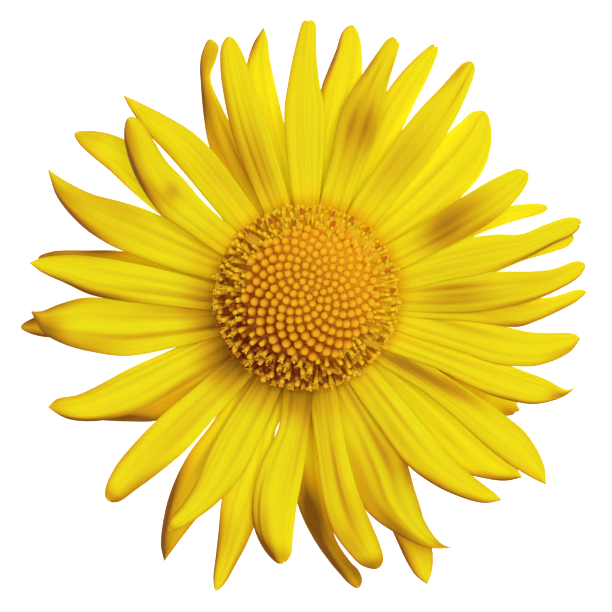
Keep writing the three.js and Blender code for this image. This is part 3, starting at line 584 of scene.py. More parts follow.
def on_curve(points, position):
    """A point on the centripetal curve through the points; the position counts them."""
    index = min(int(position), len(points) - 2)
    share = position - index
    second, third = points[index], points[index + 1]
    first = points[index - 1] if index > 0 else second * 2 - third
    fourth = points[index + 2] if index + 2 < len(points) else third * 2 - second
    pairs = (first, second), (second, third), (third, fourth)
    near, mid, far = (sqrt((b - a).length) for a, b in pairs)
    before = ((second - first) / near - (third - first) / (near + mid) + (third - second) / mid) * mid
    after = ((third - second) / mid - (fourth - second) / (mid + far) + (fourth - third) / far) * mid
    cubic = second * 2 - third * 2 + before + after
    square = third * 3 - second * 3 - before * 2 - after
    return ((cubic * share + square) * share + before) * share + second


def ray_edges(number, share):
    """Right and left edge point of a ray at a share of its run."""
    (tip_radius, tip_heading), stations = RAYS[number - 1][3:]
    rows = [(RAY_START, *stations[0][1:]), *stations]
    right = [heading(turn) * radius for radius, turn, _ in rows]
    left = [heading(turn) * radius for radius, _, turn in rows]
    tip = heading(tip_heading) * tip_radius
    position = share * len(rows)
    if number in POINTED:
        return on_curve(right + [tip], position), on_curve(left + [tip], position)
    outline = right + [tip] + left[::-1]
    return on_curve(outline, position), on_curve(outline, 2 * len(rows) - position)


def ray_height(number, radius):
    layer, crest, tip_z, (tip_radius, _), _ = RAYS[number - 1]
    run = min(max((radius - RAY_START) / (tip_radius - RAY_START), 0), 1)
    root = LAYER_BASE + LAYER_STEP * layer
    rise = crest * sin(pi * min(run / CREST_END, 1))
    return root + rise + (tip_z - root) * run ** DROOP_POWER


def edge_lifts(number):
    """A margin that lies over its neighbour is lifted, and one that lies under it is bent down."""
    own = RAYS[number - 1][0]
    right = RAYS[number % len(RAYS)][0]
    left = RAYS[number - 2][0]
    return tuple(EDGE_LIFT if own > other else -EDGE_LIFT for other in (right, left))


def groove(side, places, depths, half, rng):
    """A lengthwise groove of a ray: place across, depth and half width."""
    return side * rng.uniform(*places), rng.uniform(*depths), half


def groove_depth(grooves, run, across):
    """Depth of the grooves, which fade towards the tip."""
    fade = 1 - (1 - GROOVE_END) * eased(run, *GROOVE_FADE)
    return fade * sum(depth * exp(-((across - place) / half) ** 2) for place, depth, half in grooves)


def spots(table, number, run, across):
    """Sum of the soft spots that a table gives a ray."""
    total = 0
    for spot in table.get(number, ()):
        at_run, at_across, run_spread, across_spread, strength = (value / HUNDREDTHS for value in spot)
        away = ((run - at_run) / run_spread) ** 2 + ((across - at_across) / across_spread) ** 2
        total += strength * exp(-away)
    return total


def notched(number, point, tip, along):
    """A point of a ray, drawn back from the tip where the tip has a notch."""
    behind = (tip - point).dot(along)
    side = (point - tip).dot(UP.cross(along))
    notches = NOTCHES.get(number, ())
    depth = sum(deep * exp(-((side - place) / half) ** 2) for place, half, deep in notches)
    return point - along * depth * exp(-max(0, behind) / TOOTH_REACH)


def old_and_shaded_share(turn):
    """How far a heading points to the old side, where shade is painted too, 0 to 1."""
    return (1 + cos(turn - OLD_AND_SHADED_SIDE)) / 2


def age_and_shade(turn, radius):
    """Darkness of the florets at a place, from age and painted shade: 0 on the young, lit side to 1 on the
    old, shaded side.
    """
    return MIDDLE_AGE_AND_SHADE + (old_and_shaded_share(turn) - MIDDLE_AGE_AND_SHADE) * smooth(radius / AGE_AND_SHADE_REACH)


def shade_away_from_key(point, run, across):
    """Painted shade on the side away from the key light: the disc's shadow near the disc, and margins near
    the tips.
    """
    side = old_and_shaded_share(atan2(point.y, point.x))
    root = ROOT_SHADE * side ** 3 * (1 - eased(point.length, *ROOT_FADE))
    return root, END_SHADE * side * across ** 4 * eased(run, *END_FADE)


def margin_marks(facing, across, inside, run):
    """Strength of the line and of the shade along a margin that faces away from the light."""
    away = max(0, facing if across > 0 else -facing)
    grown = smooth(run * MARK_GROWTH)
    return [away * exp(-(inside / reach) ** 2) * grown for reach in (LINE_REACH, SHADE_REACH)]


def ray_column(column):
    """Place across a ray of a column of its grid: the columns are closer near the margins."""
    even = 2 * column / (RAY_COLUMNS - 1) - 1
    return EVEN_COLUMNS * even + (1 - EVEN_COLUMNS) * sin(even * pi / 2)


def grid_shell(upper, lower):
    """Vertices and faces of a closed sheet between two grids of points."""
    rows, columns = upper.shape[:2]
    count = rows * columns
    vertices = np.concatenate([upper.reshape(-1, 3), lower.reshape(-1, 3)])
    index = np.arange(count).reshape(rows, columns)
    a, b, c, d = index[:-1, :-1], index[1:, :-1], index[1:, 1:], index[:-1, 1:]
    top = np.stack([a, b, c, d], axis=-1).reshape(-1, 4)
    bottom = np.stack([a, d, c, b], axis=-1).reshape(-1, 4) + count
    rim = np.concatenate([index[:, 0], index[-1, 1:], index[-2::-1, -1], index[0, -2:0:-1]])
    after = np.roll(rim, -1)
    wall = np.stack([rim, rim + count, after + count, after], axis=-1)
    return vertices, np.concatenate([top, bottom, wall]).tolist()


def add_object(name, data):
    made = bpy.data.objects.new(name, data)
    bpy.context.scene.collection.objects.link(made)
    return made


def make_piece(name, vertices, faces, material, node, tones):
    """A piece in millimetres from the disc's axis, with its body and the node that it replaces."""
    mesh = bpy.data.meshes.new(name)
    placed = (np.asarray(vertices) + np.array([AXIS.x, AXIS.y, 0])) * MM
    mesh.from_pydata(placed.tolist(), [], faces)
    mesh.polygons.foreach_set("use_smooth", [True] * len(mesh.polygons))
    layer = mesh.attributes.new("tone", "FLOAT_COLOR", "POINT")
    layer.data.foreach_set("color", np.asarray(tones, dtype=float).ravel())
    mesh.materials.append(material)
    mesh.update()
    piece = add_object(name, mesh)
    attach(piece, BODY)
    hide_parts(node)


def make_ray(number, material, rng):
    """One ray floret. Its tone holds half the painted shade, the place across, the run and the ray's number.
    """
    lifts = edge_lifts(number)
    tip_radius, tip_heading = RAYS[number - 1][3]
    tip = heading(tip_heading) * tip_radius
    phase = rng.uniform(0, tau)
    ripple = rng.uniform(*RIPPLE)
    grooves = [groove(side, *BROAD_GROOVE, rng) for side in (-1, 1)]
    grooves += [groove(1, *FINE_GROOVE, rng) for _ in range(FINE_GROOVES)]
    neck = sum(ray_edges(number, TIP_NECK), Vector((0, 0, 0))) / 2
    along = (tip - neck).normalized()
    upper = np.zeros((RAY_ROWS, RAY_COLUMNS, 3))
    thickness = np.zeros((RAY_ROWS, RAY_COLUMNS))
    tones = np.zeros((RAY_ROWS, RAY_COLUMNS, 4))
    for row in range(RAY_ROWS):
        right, left = ray_edges(number, LAST_ROW * (1 - (1 - row / (RAY_ROWS - 1)) ** ROW_CROWDING))
        across_row = (left - right).normalized()
        right, left = right - across_row * MARGIN_OUT, left + across_row * MARGIN_OUT
        width = (left - right).length
        facing = -across_row.dot(LIGHT_SIDE)
        for column in range(RAY_COLUMNS):
            across = ray_column(column)
            point = right.lerp(left, (across + 1) / 2)
            run = (point.length - RAY_START) / (tip_radius - RAY_START)
            lift = lifts[1] if across > 0 else lifts[0]
            furrow = groove_depth(grooves, run, across)
            line, shade = margin_marks(facing, across, (1 - abs(across)) * width / 2, run)
            root, end = shade_away_from_key(point, run, across)
            z = ray_height(number, point.length) + (RAY_ARCH * (1 - across ** 4) - GROOVE * furrow) * width
            z += lift * across ** 2 * smooth(run * LIFT_GROWTH) * (1 - smooth(run))
            z += ripple * across * sin(run * RIPPLE_TURN + phase) * smooth(run * RIPPLE_GROWTH)
            z += spots(BENDS, number, run, across) - MARGIN_ROLL * (line + shade)
            # Painted shade from spots, the disc's shadow, grooves, margins away from the light, margins under
            # a neighbour, and far tips
            painted_shade = spots(PAINTED_SHADE_SPOTS, number, run, across) + root + GROOVE_SHADE * furrow
            painted_shade += MARGIN_LINE * line + MARGIN_SHADE * shade
            painted_shade += COVERED_SHADE * (lift < 0) * across ** 4 * (1 - smooth(run * COVERED_FADE))
            painted_shade += end
            point = notched(number, point, tip, along)
            upper[row, column] = (point.x, point.y, z)
            thickness[row, column] = RAY_MARGIN + (RAY_MIDDLE - RAY_MARGIN) * (1 - across ** 2)
            tones[row, column] = (min(painted_shade / 2, 1), (across + 1) / 2, run, number / len(RAYS))
    lower = upper.copy()
    lower[:, :, 2] -= thickness
    sunk = np.maximum(0, -lower[:, :, 2])
    lower[:, :, 2] += sunk
    upper[:, :, 2] += sunk
    vertices, faces = grid_shell(upper, lower)
    tones = np.concatenate([tones.reshape(-1, 4)] * 2)
    make_piece(f"ray_{number:02d}", vertices, faces, material, "ray_florets", tones)


def ring_faces(rings, sides, start=0):
    """Faces between rings of vertices that follow each other."""
    faces = []
    for ring in range(rings - 1):
        for side in range(sides):
            a = start + ring * sides + side
            b = start + ring * sides + (side + 1) % sides
            faces.append((a, b, b + sides, a + sides))
    return faces


class Patch:
    """Grows one mesh from many small turned shapes, with a tone for each vertex."""

    def __init__(self):
        self.vertices, self.faces, self.tones = [], [], []

    def turned(self, foot, along, profile, sides, tones, lobe_depth=0.0):
        """Rings about a line: each profile entry is height and radius. One face closes each end."""
        turn = UP.rotation_difference(along.normalized())
        start = len(self.vertices)
        for (height, radius), tone in zip(profile, tones):
            for side in range(sides):
                angle = tau * side / sides
                reach = radius * (1 + lobe_depth * cos(LOBES * angle))
                self.vertices.append(foot + turn @ polar(reach, angle, height))
                self.tones.append(tone)
        end = len(self.vertices) - sides
        self.faces.extend(ring_faces(len(profile), sides, start))
        self.faces.append(tuple(start + side for side in reversed(range(sides))))
        self.faces.append(tuple(end + side for side in range(sides)))

    def add(self, vertices, faces, tones):
        start = len(self.vertices)
        self.vertices.extend(Vector(vertex) for vertex in vertices)
        self.faces.extend(tuple(start + corner for corner in face) for face in faces)
        self.tones.extend(tones)

    def hair(self, foot, along, width):
        """A thin three-sided spike."""
        length = along.length
        profile = [(-HAIR_SUNK, width), (length / 2, width * HAIR_MIDDLE), (length, width * HAIR_END)]
        self.turned(foot, along, profile, 3, [HAIR_TONE] * len(profile))

    def piece(self, name, material, slot, node):
        make_piece(name, [tuple(v) for v in self.vertices], self.faces, material, node, self.tones)


def ribbed(outline, ribs, depth):
    """A shape turned about the axis, with lengthwise ribs on its narrow part. Its ends are still open."""
    vertices, tones = [], []
    for radius, z in outline:
        for side in range(STEM_SIDES):
            turn = tau * side / STEM_SIDES
            wave = depth * cos(ribs * turn)
            wave *= (1 - eased(radius, *RIB_OUTSIDE)) * eased(radius, *RIB_INSIDE)
            vertices.append(polar(radius + wave, turn, z))
            tones.append((radius / TONE_RADIUS, turn / tau, z / TONE_HEIGHT, 1))
    return vertices, ring_faces(len(outline), STEM_SIDES), tones


def make_stem(material, rng):
    """The stub of the stem, cut square, and the receptacle that it widens into."""
    patch = Patch()
    rings = STEM_OUTLINE[1:-1]
    vertices, faces, tones = ribbed(rings, STEM_RIBS, RIB_DEPTH)
    low, high = len(vertices), len(vertices) + 1
    top = (len(rings) - 1) * STEM_SIDES
    for (_, z), tone in zip((STEM_OUTLINE[0], STEM_OUTLINE[-1]), (0, 1)):
        vertices.append(Vector((0, 0, z)))
        tones.append((0, 0, tone, 1))
    for side in range(STEM_SIDES):
        after = (side + 1) % STEM_SIDES
        faces.append((low, after, side))
        faces.append((high, top + side, top + after))
    patch.add(vertices, faces, tones)
    for _ in range(STEM_HAIRS):
        turn = rng.uniform(0, tau)
        share = rng.random()
        radius = STEM_RADIUS + WIDENING * max(0, share - WIDENING_START)
        foot = polar(radius, turn, HAIR_LOWEST + HAIR_SPAN * share)
        along = polar(1, turn + sway(rng, STEM_HAIR_TURN), rng.uniform(*STEM_HAIR_RISE))
        patch.hair(foot, along * rng.uniform(*STEM_HAIR_LENGTHS), STEM_HAIR_WIDTH)
    patch.piece("stem_stub", material, "stem", "stem")


def make_bract(patch, rows, turn, seed, rng):
    """One pointed green bract: a closed blade with a keel, and hairs along its margins."""
    tip_radius, _, tip_z = rows[-1]
    rows = [*rows, (tip_radius + BRACT_TIP, BRACT_END, tip_z)]
    centres = [Vector((radius, 0, z)) for radius, _, z in rows]
    halves = [Vector((radius, half, 0)) for radius, half, _ in rows]
    out, across = polar(1, turn), polar(1, turn + pi / 2)
    upper = np.zeros((BRACT_ROWS, BRACT_COLUMNS, 3))
    tones = np.zeros((BRACT_ROWS, BRACT_COLUMNS, 4))
    margins = []
    for row in range(BRACT_ROWS):
        position = row / (BRACT_ROWS - 1) * (len(centres) - 1)
        centre, half = on_curve(centres, position), on_curve(halves, position).y
        for column in range(BRACT_COLUMNS):
            side = 2 * column / (BRACT_COLUMNS - 1) - 1
            z = centre.z + BRACT_KEEL * abs(side) + BRACT_RIPPLE * cos(side * BRACT_RIPPLE_TURN)
            upper[row, column] = out * centre.x + across * (half * side) + Vector((0, 0, z))
            tones[row, column] = (row / (BRACT_ROWS - 1), seed, (side + 1) / 2, 1)
        margins.append((out * centre.x + Vector((0, 0, centre.z - BRACT_THICKNESS / 2)), half))
    middle = upper[:, BRACT_COLUMNS // 2:BRACT_COLUMNS // 2 + 1]
    lower = upper - np.array([0, 0, BRACT_THICKNESS])
    lower += (middle - upper) * np.array([BRACT_BEVEL, BRACT_BEVEL, 0])
    vertices, faces = grid_shell(upper, lower)
    patch.add(vertices, faces, [tuple(tone) for tone in np.concatenate([tones.reshape(-1, 4)] * 2)])
    for _ in range(BRACT_HAIRS):
        centre, half = margins[rng.randrange(*BRACT_HAIR_ROWS)]
        side = rng.choice((-1, 1))
        along = across * side + out * rng.uniform(*BRACT_HAIR_OUT) + UP * rng.uniform(*BRACT_HAIR_RISE)
        along *= rng.uniform(*BRACT_HAIR_LENGTHS)
        patch.hair(centre + across * (half * side), along, BRACT_HAIR_WIDTH)


def make_involucre(material, rng):
    """The saucer and the two rows of bracts on it."""
    patch = Patch()
    vertices, faces, _ = ribbed(SAUCER_OUTLINE, 0, 0)
    last = len(vertices) - STEM_SIDES
    for side in range(STEM_SIDES):
        after = (side + 1) % STEM_SIDES
        faces.append((last + side, last + after, after, side))
    patch.add(vertices, faces, [SAUCER_TONE] * len(vertices))
    for index in range(BRACTS):
        turn = radians(BRACT_PHASE + 360 * index / BRACTS)
        make_bract(patch, INNER_BRACT if index % 2 else OUTER_BRACT, turn, rng.random(), rng)
    patch.piece("bracts", material, "bract", "involucre")


def dome_height(radius):
    return DOME_TOP - DOME_FALL * radius ** 2


def spiral(reach):
    """Radius, heading and pitch of each place on the disc, from the middle outwards."""
    square, index = SPIRAL_START, 0
    while square < reach ** 2:
        radius = sqrt(square)
        pitch = PITCH_MIDDLE + PITCH_GROWTH * radius
        if radius > BUD_REACH:
            pitch *= FLORET_SPREAD
        yield radius, index * GOLDEN_ANGLE, pitch
        square += HEXAGON * pitch ** 2 / pi
        index += 1


def shifted(radius, turn, pitch):
    """A place on the disc with the spiral's middle moved to where the photograph has it."""
    place = polar(radius, turn)
    crowd = place.dot(SPIRAL_SHIFT) / FLORET_REACH ** 2
    place += SPIRAL_SHIFT * (1 - (radius / FLORET_REACH) ** 2)
    return place.length, atan2(place.y, place.x), pitch * (1 - crowd)


def make_buds(material, rng):
    """The closed buds. A tone of the disc holds height, which paints shade low and a highlight high, the
    floret's own value, age and painted shade, and 1 where fresh.
    """
    patch = Patch()
    for radius, turn, pitch in spiral(BUD_REACH):
        radius, turn, pitch = shifted(radius + sway(rng, BUD_WANDER), turn + sway(rng, BUD_TWIST), pitch)
        out = Vector((BUD_LEAN * DOME_FALL * radius, 0, 1)).normalized()
        out.rotate(Quaternion(UP, turn))
        size = BUD_FILL * pitch * rng.uniform(*BUD_SIZES)
        seat = polar(radius, turn, dome_height(radius)) + out * sway(rng, BUD_RISE)
        seed = rng.random()
        old_and_shaded = age_and_shade(turn, radius)
        profile = [(-NECK_DEPTH, size * NECK_SHARE)]
        tones = [(0, seed, old_and_shaded, 1)]
        for ring in range(BUD_RINGS):
            angle = radians(BUD_BOTTOM + BUD_ARC * ring / (BUD_RINGS - 1))
            profile.append((size * BUD_STRETCH * sin(angle), size * cos(angle)))
            tones.append(((1 + sin(angle)) / 2, seed, old_and_shaded, 1))
        patch.turned(seat, out, profile, BUD_SIDES, tones, BUD_LOBES)
    patch.piece("closed_buds", material, "bud", "disc_buds")


def make_disc_bed(material, rng):
    """The floor between the florets: close under the closed buds, and deeper under the open florets."""
    patch = Patch()
    profile = list(BED_OUTLINE)
    for step in range(1, BED_STEPS + 1):
        radius = BED_OUTLINE[-1][1] * (1 - step / (BED_STEPS + 1))
        deeper = (BED_DEPTH - BUD_BED_DEPTH) * eased(radius, *BED_STEP)
        profile.append((dome_height(radius) - BUD_BED_DEPTH - deeper, radius))
    patch.turned(Vector((0, 0, 0)), UP, profile, BED_SIDES, [None] * len(profile))
    streaks = [rng.random() for _ in range(BED_SIDES)]
    for index, vertex in enumerate(patch.vertices):
        radius = vertex.xy.length
        old_and_shaded = age_and_shade(atan2(vertex.y, vertex.x), radius)
        rim = eased(radius, *BED_RIM)
        pit = old_and_shaded * eased(radius, *PIT_START) * (1 - rim)
        edge = eased(radius, *BED_EDGE)
        # The tone paints shade low down and light on the young side
        bright = BED_YOUNG_LIGHT_TONE * (1 - old_and_shaded) + STREAK_TONE * streaks[index % BED_SIDES]
        patch.tones[index] = (BED_SHADE_TONE + PIT_TONE * pit + rim * bright, PLAIN_SEED, old_and_shaded, 1)
        vertex.z += (BED_TILT * (0.5 - old_and_shaded) * (1 - rim)
                     + BED_FILL * (1 - old_and_shaded) ** FILL_POWER * rim * (1 - EDGE_FALL * edge))
        vertex.z -= PIT_DEPTH * pit
    patch.piece("disc_bed", material, "floret", "open_florets")


def shape(table, length, size):
    """Heights and radii of a turned shape from its shares."""
    return [(length * far, size * wide) for far, wide, _ in table]


def club(patch, foot, along, size, seed, old_and_shaded, dim, rng):
    """A floret that is about to open: a ribbed club with a blunt end, often with two spread arms."""
    # On the young side the foot's tone is raised, painted light; dim lowers the tones, painted shade
    least = YOUNG_FOOT_LIGHT * (1 - old_and_shaded)
    tones = [(max(tone * dim, least), seed, old_and_shaded, 1) for _, _, tone in CLUB]
    patch.turned(foot, along, shape(CLUB, along.length, size), FLORET_SIDES, tones, CLUB_LOBES)
    if rng.random() < ARM_CHANCE * old_and_shaded:
        out = along.normalized()
        across = out.cross(UP).normalized()
        tones = [(tone * dim, seed, old_and_shaded, 1) for _, _, tone in ARM]
        for side in (-1, 1):
            arm = across * side + out * rng.uniform(*ARM_OUT) + UP * rng.uniform(*ARM_RISE)
            patch.turned(foot + along, arm, shape(ARM, 1, 1), STYLE_SIDES, tones)


def style(patch, foot, along, size, seed, old_and_shaded, fresh):
    """A thin column; a spent one has a red-brown end, which is where its tone is 1."""
    tones = [(tone, seed, old_and_shaded, fresh if tone == 1 else 1) for _, _, tone in STYLE]
    patch.turned(foot, along, shape(STYLE, along.length, size), STYLE_SIDES, tones)


def trumpet(patch, foot, along, size, seed, old_and_shaded, rng):
    """An open floret: a narrow tube, a flared mouth with five lobes, and the style that stands out of it."""
    tones = [(tone, seed, old_and_shaded, 1) for _, _, tone in TRUMPET]
    patch.turned(foot, along, shape(TRUMPET, along.length, size), FLORET_SIDES, tones, TRUMPET_LOBES)
    column = along * rng.uniform(*STYLE_LENGTHS)
    style(patch, foot + along * STYLE_FROM, column, size * STYLE_SHARE, seed, old_and_shaded, 1)


def flap(patch, foot, along, half, old_and_shaded, rng):
    """A flat floret that has folded open like a small leaf."""
    across = UP.cross(along).normalized()
    upper = np.zeros((FLAP_GRID, FLAP_GRID, 3))
    teeth = [rng.uniform(*FLAP_TEETH) for _ in range(FLAP_GRID)]
    for row in range(FLAP_GRID):
        share = row / (FLAP_GRID - 1)
        wide = half * sin(pi * by_share(FLAP_TAPER, share)) * rng.uniform(*FLAP_EDGES)
        for column in range(FLAP_GRID):
            side = 2 * column / (FLAP_GRID - 1) - 1
            place = foot + along * (share * teeth[column]) + across * (wide * side)
            upper[row, column] = place + UP * (FLAP_ARCH * (1 - side ** 2) + FLAP_PLEAT * (column % 2))
    vertices, faces = grid_shell(upper, upper - np.array([0, 0, FLAP_THICKNESS]))
    strips = [(rng.uniform(*FLAP_TONES), PLAIN_SEED, old_and_shaded * FLAP_AGE_AND_SHADE, 1) for _ in range(FLAP_GRID)]
    patch.add(vertices, faces, [strips[index % FLAP_GRID] for index in range(len(vertices))])


def floret_top(radius):
    return FLORET_TOP - FLORET_FALL * (radius - BUD_REACH) / (FLORET_REACH - BUD_REACH)


def add_ring_floret(patch, radius, turn, old_and_shaded, low, rng):
    """A floret of the ring. Lower layers are darker on the old side, painted shade under the layers above,
    and have gaps on the young side.
    """
    seed = rng.random()
    if low and rng.random() < YOUNG_GAPS * (1 - old_and_shaded):
        return
    here = turn + low * LAYER_TWIST + sway(rng, FLORET_TWIST)
    reach = radius + sway(rng, FLORET_WANDER) - low * LAYER_INSET
    lean = here + sway(rng, FLORET_LEAN)
    shown = by_share(FLORET_LENGTH, old_and_shaded) + rng.uniform(*FLORET_LENGTHS)
    drop = low * by_share(LAYER_DROP, old_and_shaded)
    mouth = polar(reach, lean, floret_top(radius) + sway(rng, FLORET_WANDER) - drop)
    foot = polar(reach - shown, here, mouth.z - by_share(FOOT_DEPTH, old_and_shaded))
    size = by_share(FLORET_SIZE, old_and_shaded) * rng.uniform(*FLORET_SIZES)
    shade = min(1, old_and_shaded * (1 + LAYER_SHADE * low))
    if low or rng.random() < CLUB_CHANCE:
        club(patch, foot, mouth - foot, size, seed, shade, 1 - LAYER_DIM * low * old_and_shaded ** 2, rng)
    else:
        trumpet(patch, foot, mouth - foot, size, seed, shade, rng)


def add_rim_florets(patch, rng):
    """Rows of florets round the side of the disc: the upper ones lean outwards over the rays."""
    for row, (foot_radius, foot_z, mouth_radius, mouth_z) in enumerate(RIM_ROWS):
        for index in range(RIM_FLORETS):
            turn = tau * (index + row / len(RIM_ROWS)) / RIM_FLORETS + sway(rng, FLORET_TWIST)
            old_and_shaded = age_and_shade(turn, FLORET_REACH) ** RING_AGE_AND_SHADE
            foot = polar(foot_radius, turn, foot_z)
            reach = foot_radius + (mouth_radius - foot_radius) * (1 - RIM_YOUNG * (1 - old_and_shaded))
            reach += rng.uniform(*RIM_WANDER)
            mouth = polar(reach, turn + sway(rng, FLORET_TWIST), mouth_z + sway(rng, FLORET_WANDER))
            size = by_share(RIM_SIZE, old_and_shaded) * rng.uniform(*RIM_SIZES)
            # Lower rows are dimmer on the old side, painted shade
            dim = 1 - LAYER_DIM * (row + RIM_DIM) * old_and_shaded ** 2
            club(patch, foot, mouth - foot, size, rng.random(), old_and_shaded, dim, rng)


def make_open_florets(material, rng):
    """The ring and the rim of open florets, with spent ends and flaps on top."""
    patch = Patch()
    for radius, turn, _ in spiral(FLORET_REACH):
        if radius >= BUD_REACH:
            old_and_shaded = age_and_shade(turn, radius) ** RING_AGE_AND_SHADE
            for low in range(FLORET_LAYERS):
                add_ring_floret(patch, radius, turn, old_and_shaded, low, rng)
    add_rim_florets(patch, rng)
    for radius, degrees in SPENT_ENDS:
        turn = radians(degrees)
        foot = polar(radius - SPENT_IN, turn, floret_top(radius - SPENT_IN) + SPENT_RISE[0])
        along = polar(radius + SPENT_OUT, turn, floret_top(radius) + SPENT_RISE[1]) - foot
        style(patch, foot, along, rng.uniform(*SPENT_SIZES), PLAIN_SEED, age_and_shade(turn, radius), 0)
    for radius, degrees, pointing, length, half in FLAPS:
        turn = radians(degrees)
        along = polar(length, radians(pointing), -FLAP_DROOP)
        foot = polar(radius, turn, floret_top(radius) - FLAP_SINK) - along * 0.5
        flap(patch, foot, along, half, age_and_shade(turn, radius), rng)
    patch.piece("open_disc_florets", material, "floret", "open_florets")


def new_material(name):
    material = bpy.data.materials.new(name)
    material.use_nodes = True
    return material, material.node_tree


def fill(tree, inputs, values):
    """Sets or links each input."""
    for key, value in values.items():
        if isinstance(value, bpy.types.NodeSocket):
            tree.links.new(value, inputs[key])
        else:
            inputs[key].default_value = value


def add_node(tree, kind, values, operation=None):
    """A new node's first output."""
    node = tree.nodes.new("ShaderNode" + kind)
    if operation:
        node.operation = operation
    fill(tree, node.inputs, values)
    return node.outputs[0]


def mixed(tree, factor, first, second):
    """Two colours mixed. A mix node has the sockets for colours behind those for numbers and vectors."""
    mix = tree.nodes.new("ShaderNodeMix")
    mix.data_type = "RGBA"
    fill(tree, mix.inputs, {0: factor, 6: first, 7: second})
    return mix.outputs[2]


def ranged(tree, value, start, end, most=1.0):
    return add_node(tree, "MapRange", {"Value": value, "From Min": start, "From Max": end, "To Max": most})


def tone_parts(tree):
    tone = tree.nodes.new("ShaderNodeAttribute")
    tone.attribute_name = "tone"
    parts = tree.nodes.new("ShaderNodeSeparateColor")
    tree.links.new(tone.outputs["Color"], parts.inputs["Color"])
    return *parts.outputs, tone.outputs["Alpha"]


def streaked(tree, parts, fineness):
    """Noise that is drawn out lengthwise."""
    place = add_node(tree, "CombineXYZ", dict(zip("XYZ", parts)))
    place = add_node(tree, "VectorMath", {0: place, 1: fineness}, "MULTIPLY")
    return add_node(tree, "TexNoise", {"Vector": place, "Scale": 1.0, "Detail": STREAK_DETAIL})


def cover(tree, colour, surface, height, bump):
    """Gives a material its colour, its surface and its relief."""
    relief = add_node(tree, "Bump", {"Strength": bump[0], "Distance": bump[1], "Height": height})
    values = {"Base Color": colour, "Normal": relief, **dict(zip(SOCKETS, surface))}
    fill(tree, tree.nodes["Principled BSDF"].inputs, values)


def ray_material():
    """Yellow with faint veins, painted light near the root and a painted shade hue at the foot. Amber and
    brown are painted shade.
    """
    material, tree = new_material("petal_yellow")
    painted_shade, across, run, seed = tone_parts(tree)
    streaks = streaked(tree, (across, run, seed), PETAL_STREAKS)
    colour = mixed(tree, ranged(tree, streaks, *VEIN_RANGE, VEIN_STRENGTH), PETAL_LIT, PETAL_VEIN)
    colour = mixed(tree, ranged(tree, run, *ROOT_LIGHT_RANGE), colour, PETAL_ROOT_LIGHT)
    colour = mixed(tree, ranged(tree, run, *FOOT_SHADE_RANGE), colour, PETAL_FOOT_SHADE)
    colour = mixed(tree, ranged(tree, painted_shade, *SHADE_AMBER_RANGE), colour, PETAL_SHADE_AMBER)
    colour = mixed(tree, ranged(tree, painted_shade, *SHADE_BROWN_RANGE), colour, PETAL_SHADE_BROWN)
    cover(tree, colour, PETAL_SURFACE, streaks, PETAL_BUMP)
    return material


def disc_ramp(tree, height, colours, middle_at):
    """Colour of a floret by its height: painted shade at the foot, the middle, and a painted highlight at the
    top.
    """
    foot, middle, top = colours
    node = tree.nodes.new("ShaderNodeValToRGB")
    tree.links.new(height, node.inputs[0])
    first, last = node.color_ramp.elements
    first.color = foot
    last.color = top
    last.position = TOP_START
    node.color_ramp.elements.new(middle_at).color = middle
    return node.outputs["Color"]


def disc_material(name, young_and_lit, old_and_shaded):
    """Florets with painted shade at the foot and a painted highlight at the top, in colours by age and
    painted shade.
    """
    material, tree = new_material(name)
    height, seed, side, fresh = tone_parts(tree)
    young_lit_side = disc_ramp(tree, height, young_and_lit, YOUNG_LIT_MIDDLE)
    colour = mixed(tree, side, young_lit_side, disc_ramp(tree, height, old_and_shaded, OLD_SHADED_MIDDLE))
    colour = mixed(tree, ranged(tree, seed, 0.0, 1.0, SEED_CHANGE), colour, young_and_lit[1])
    spent = add_node(tree, "Math", {0: 1.0, 1: fresh}, "SUBTRACT")
    colour = mixed(tree, spent, colour, mixed(tree, side, SPENT_YOUNG_LIT, SPENT_OLD_SHADED))
    grain = add_node(tree, "TexNoise", {"Scale": GRAIN_SCALE})
    cover(tree, colour, DISC_SURFACE, grain, DISC_BUMP)
    return material


def green_material(name, colours, is_stem):
    """Green with lengthwise streaks. The stem has a pale pith where it was cut."""
    material, tree = new_material(name)
    along, seed, third, _ = tone_parts(tree)
    streaks = streaked(tree, (seed if is_stem else third, along, seed), GREEN_STREAKS)
    colour = mixed(tree, streaks, *colours)
    if is_stem:
        low = add_node(tree, "Math", {0: third, 1: PITH_HEIGHT}, "LESS_THAN")
        cut = add_node(tree, "Math", {0: ranged(tree, along, *PITH_RANGE), 1: low}, "MULTIPLY")
        colour = mixed(tree, cut, colour, PITH)
    cover(tree, colour, GREEN_SURFACE, streaks, GREEN_BUMP)
    return material


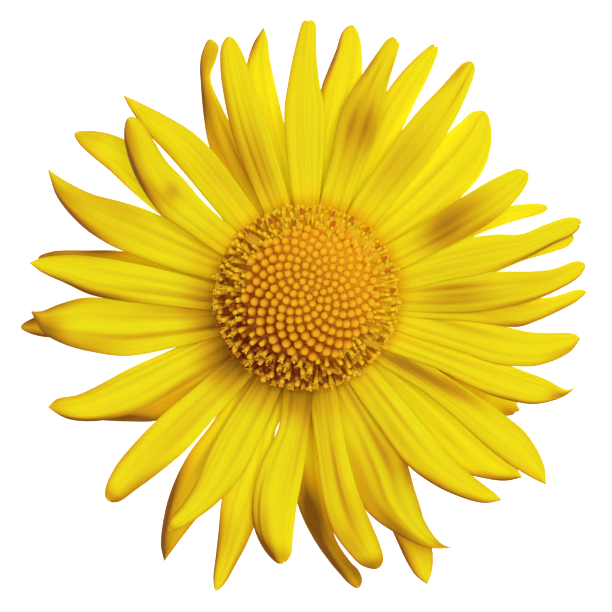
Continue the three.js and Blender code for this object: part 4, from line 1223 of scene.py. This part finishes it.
def make_stage():
    material, tree = new_material("floor_white")
    fill(tree, tree.nodes["Principled BSDF"].inputs, FLOOR_SURFACE)
    mesh = bpy.data.meshes.new("floor")
    half = FLOOR_METRES / 2
    corners = [(half * x, half * y, 0) for x, y in ((-1, -1), (1, -1), (1, 1), (-1, 1))]
    mesh.from_pydata(corners, [], [(0, 1, 2, 3)])
    mesh.materials.append(material)
    floor = add_object("floor", mesh)


def make_lights():
    for name, (place, size, watts) in LAMPS.items():
        light = bpy.data.lights.new(name, "AREA")
        light.shape = "DISK"
        light.size = size
        light.energy = watts
        lamp = add_object(name, light)
        lamp.location = place
        lamp.rotation_mode = "QUATERNION"
        lamp.rotation_quaternion = (-Vector(place)).to_track_quat("-Z", "Y")
    world = bpy.data.worlds.new("studio")
    world.use_nodes = True
    tree = world.node_tree
    fill(tree, tree.nodes["Background"].inputs, {"Color": FILL_COLOUR, "Strength": FILL_STRENGTH})
    bpy.context.scene.world = world


def make_camera():
    camera = bpy.data.cameras.new("camera")
    camera.sensor_width = SENSOR
    field = PHOTO_SIDE * MM_A_PIXEL * MM
    camera.lens = SENSOR * (CAMERA_HEIGHT - FOCUS_HEIGHT) / field
    camera.clip_start, camera.clip_end = CLIP
    eye = add_object("camera", camera)
    right = (PHOTO_SIDE / 2 - PHOTO_AXIS[0]) * MM_A_PIXEL
    up = (PHOTO_AXIS[1] - PHOTO_SIDE / 2) * MM_A_PIXEL
    eye.location = ((AXIS.x + right) * MM, (AXIS.y + up) * MM, CAMERA_HEIGHT)
    bpy.context.scene.camera = eye


def make_flower():
    """All the pieces. The order is that of the random draws."""
    rng = random.Random(SEED)
    petal = ray_material()
    for number in range(1, len(RAYS) + 1):
        make_ray(number, petal, rng)
    bud = disc_material("bud_gold", BUD_YOUNG_LIT, BUD_OLD_SHADED)
    floret = disc_material("floret_gold", FLORET_YOUNG_LIT, FLORET_OLD_SHADED)
    make_stem(green_material("stem_green", STEM_GREEN, True), rng)
    make_involucre(green_material("bract_green", BRACT_GREEN, False), rng)
    make_disc_bed(floret, rng)
    make_buds(bud, rng)
    make_open_florets(floret, rng)


make_camera()
make_stage()
make_lights()
make_flower()
bpy.context.scene.view_settings.view_transform = "Standard"
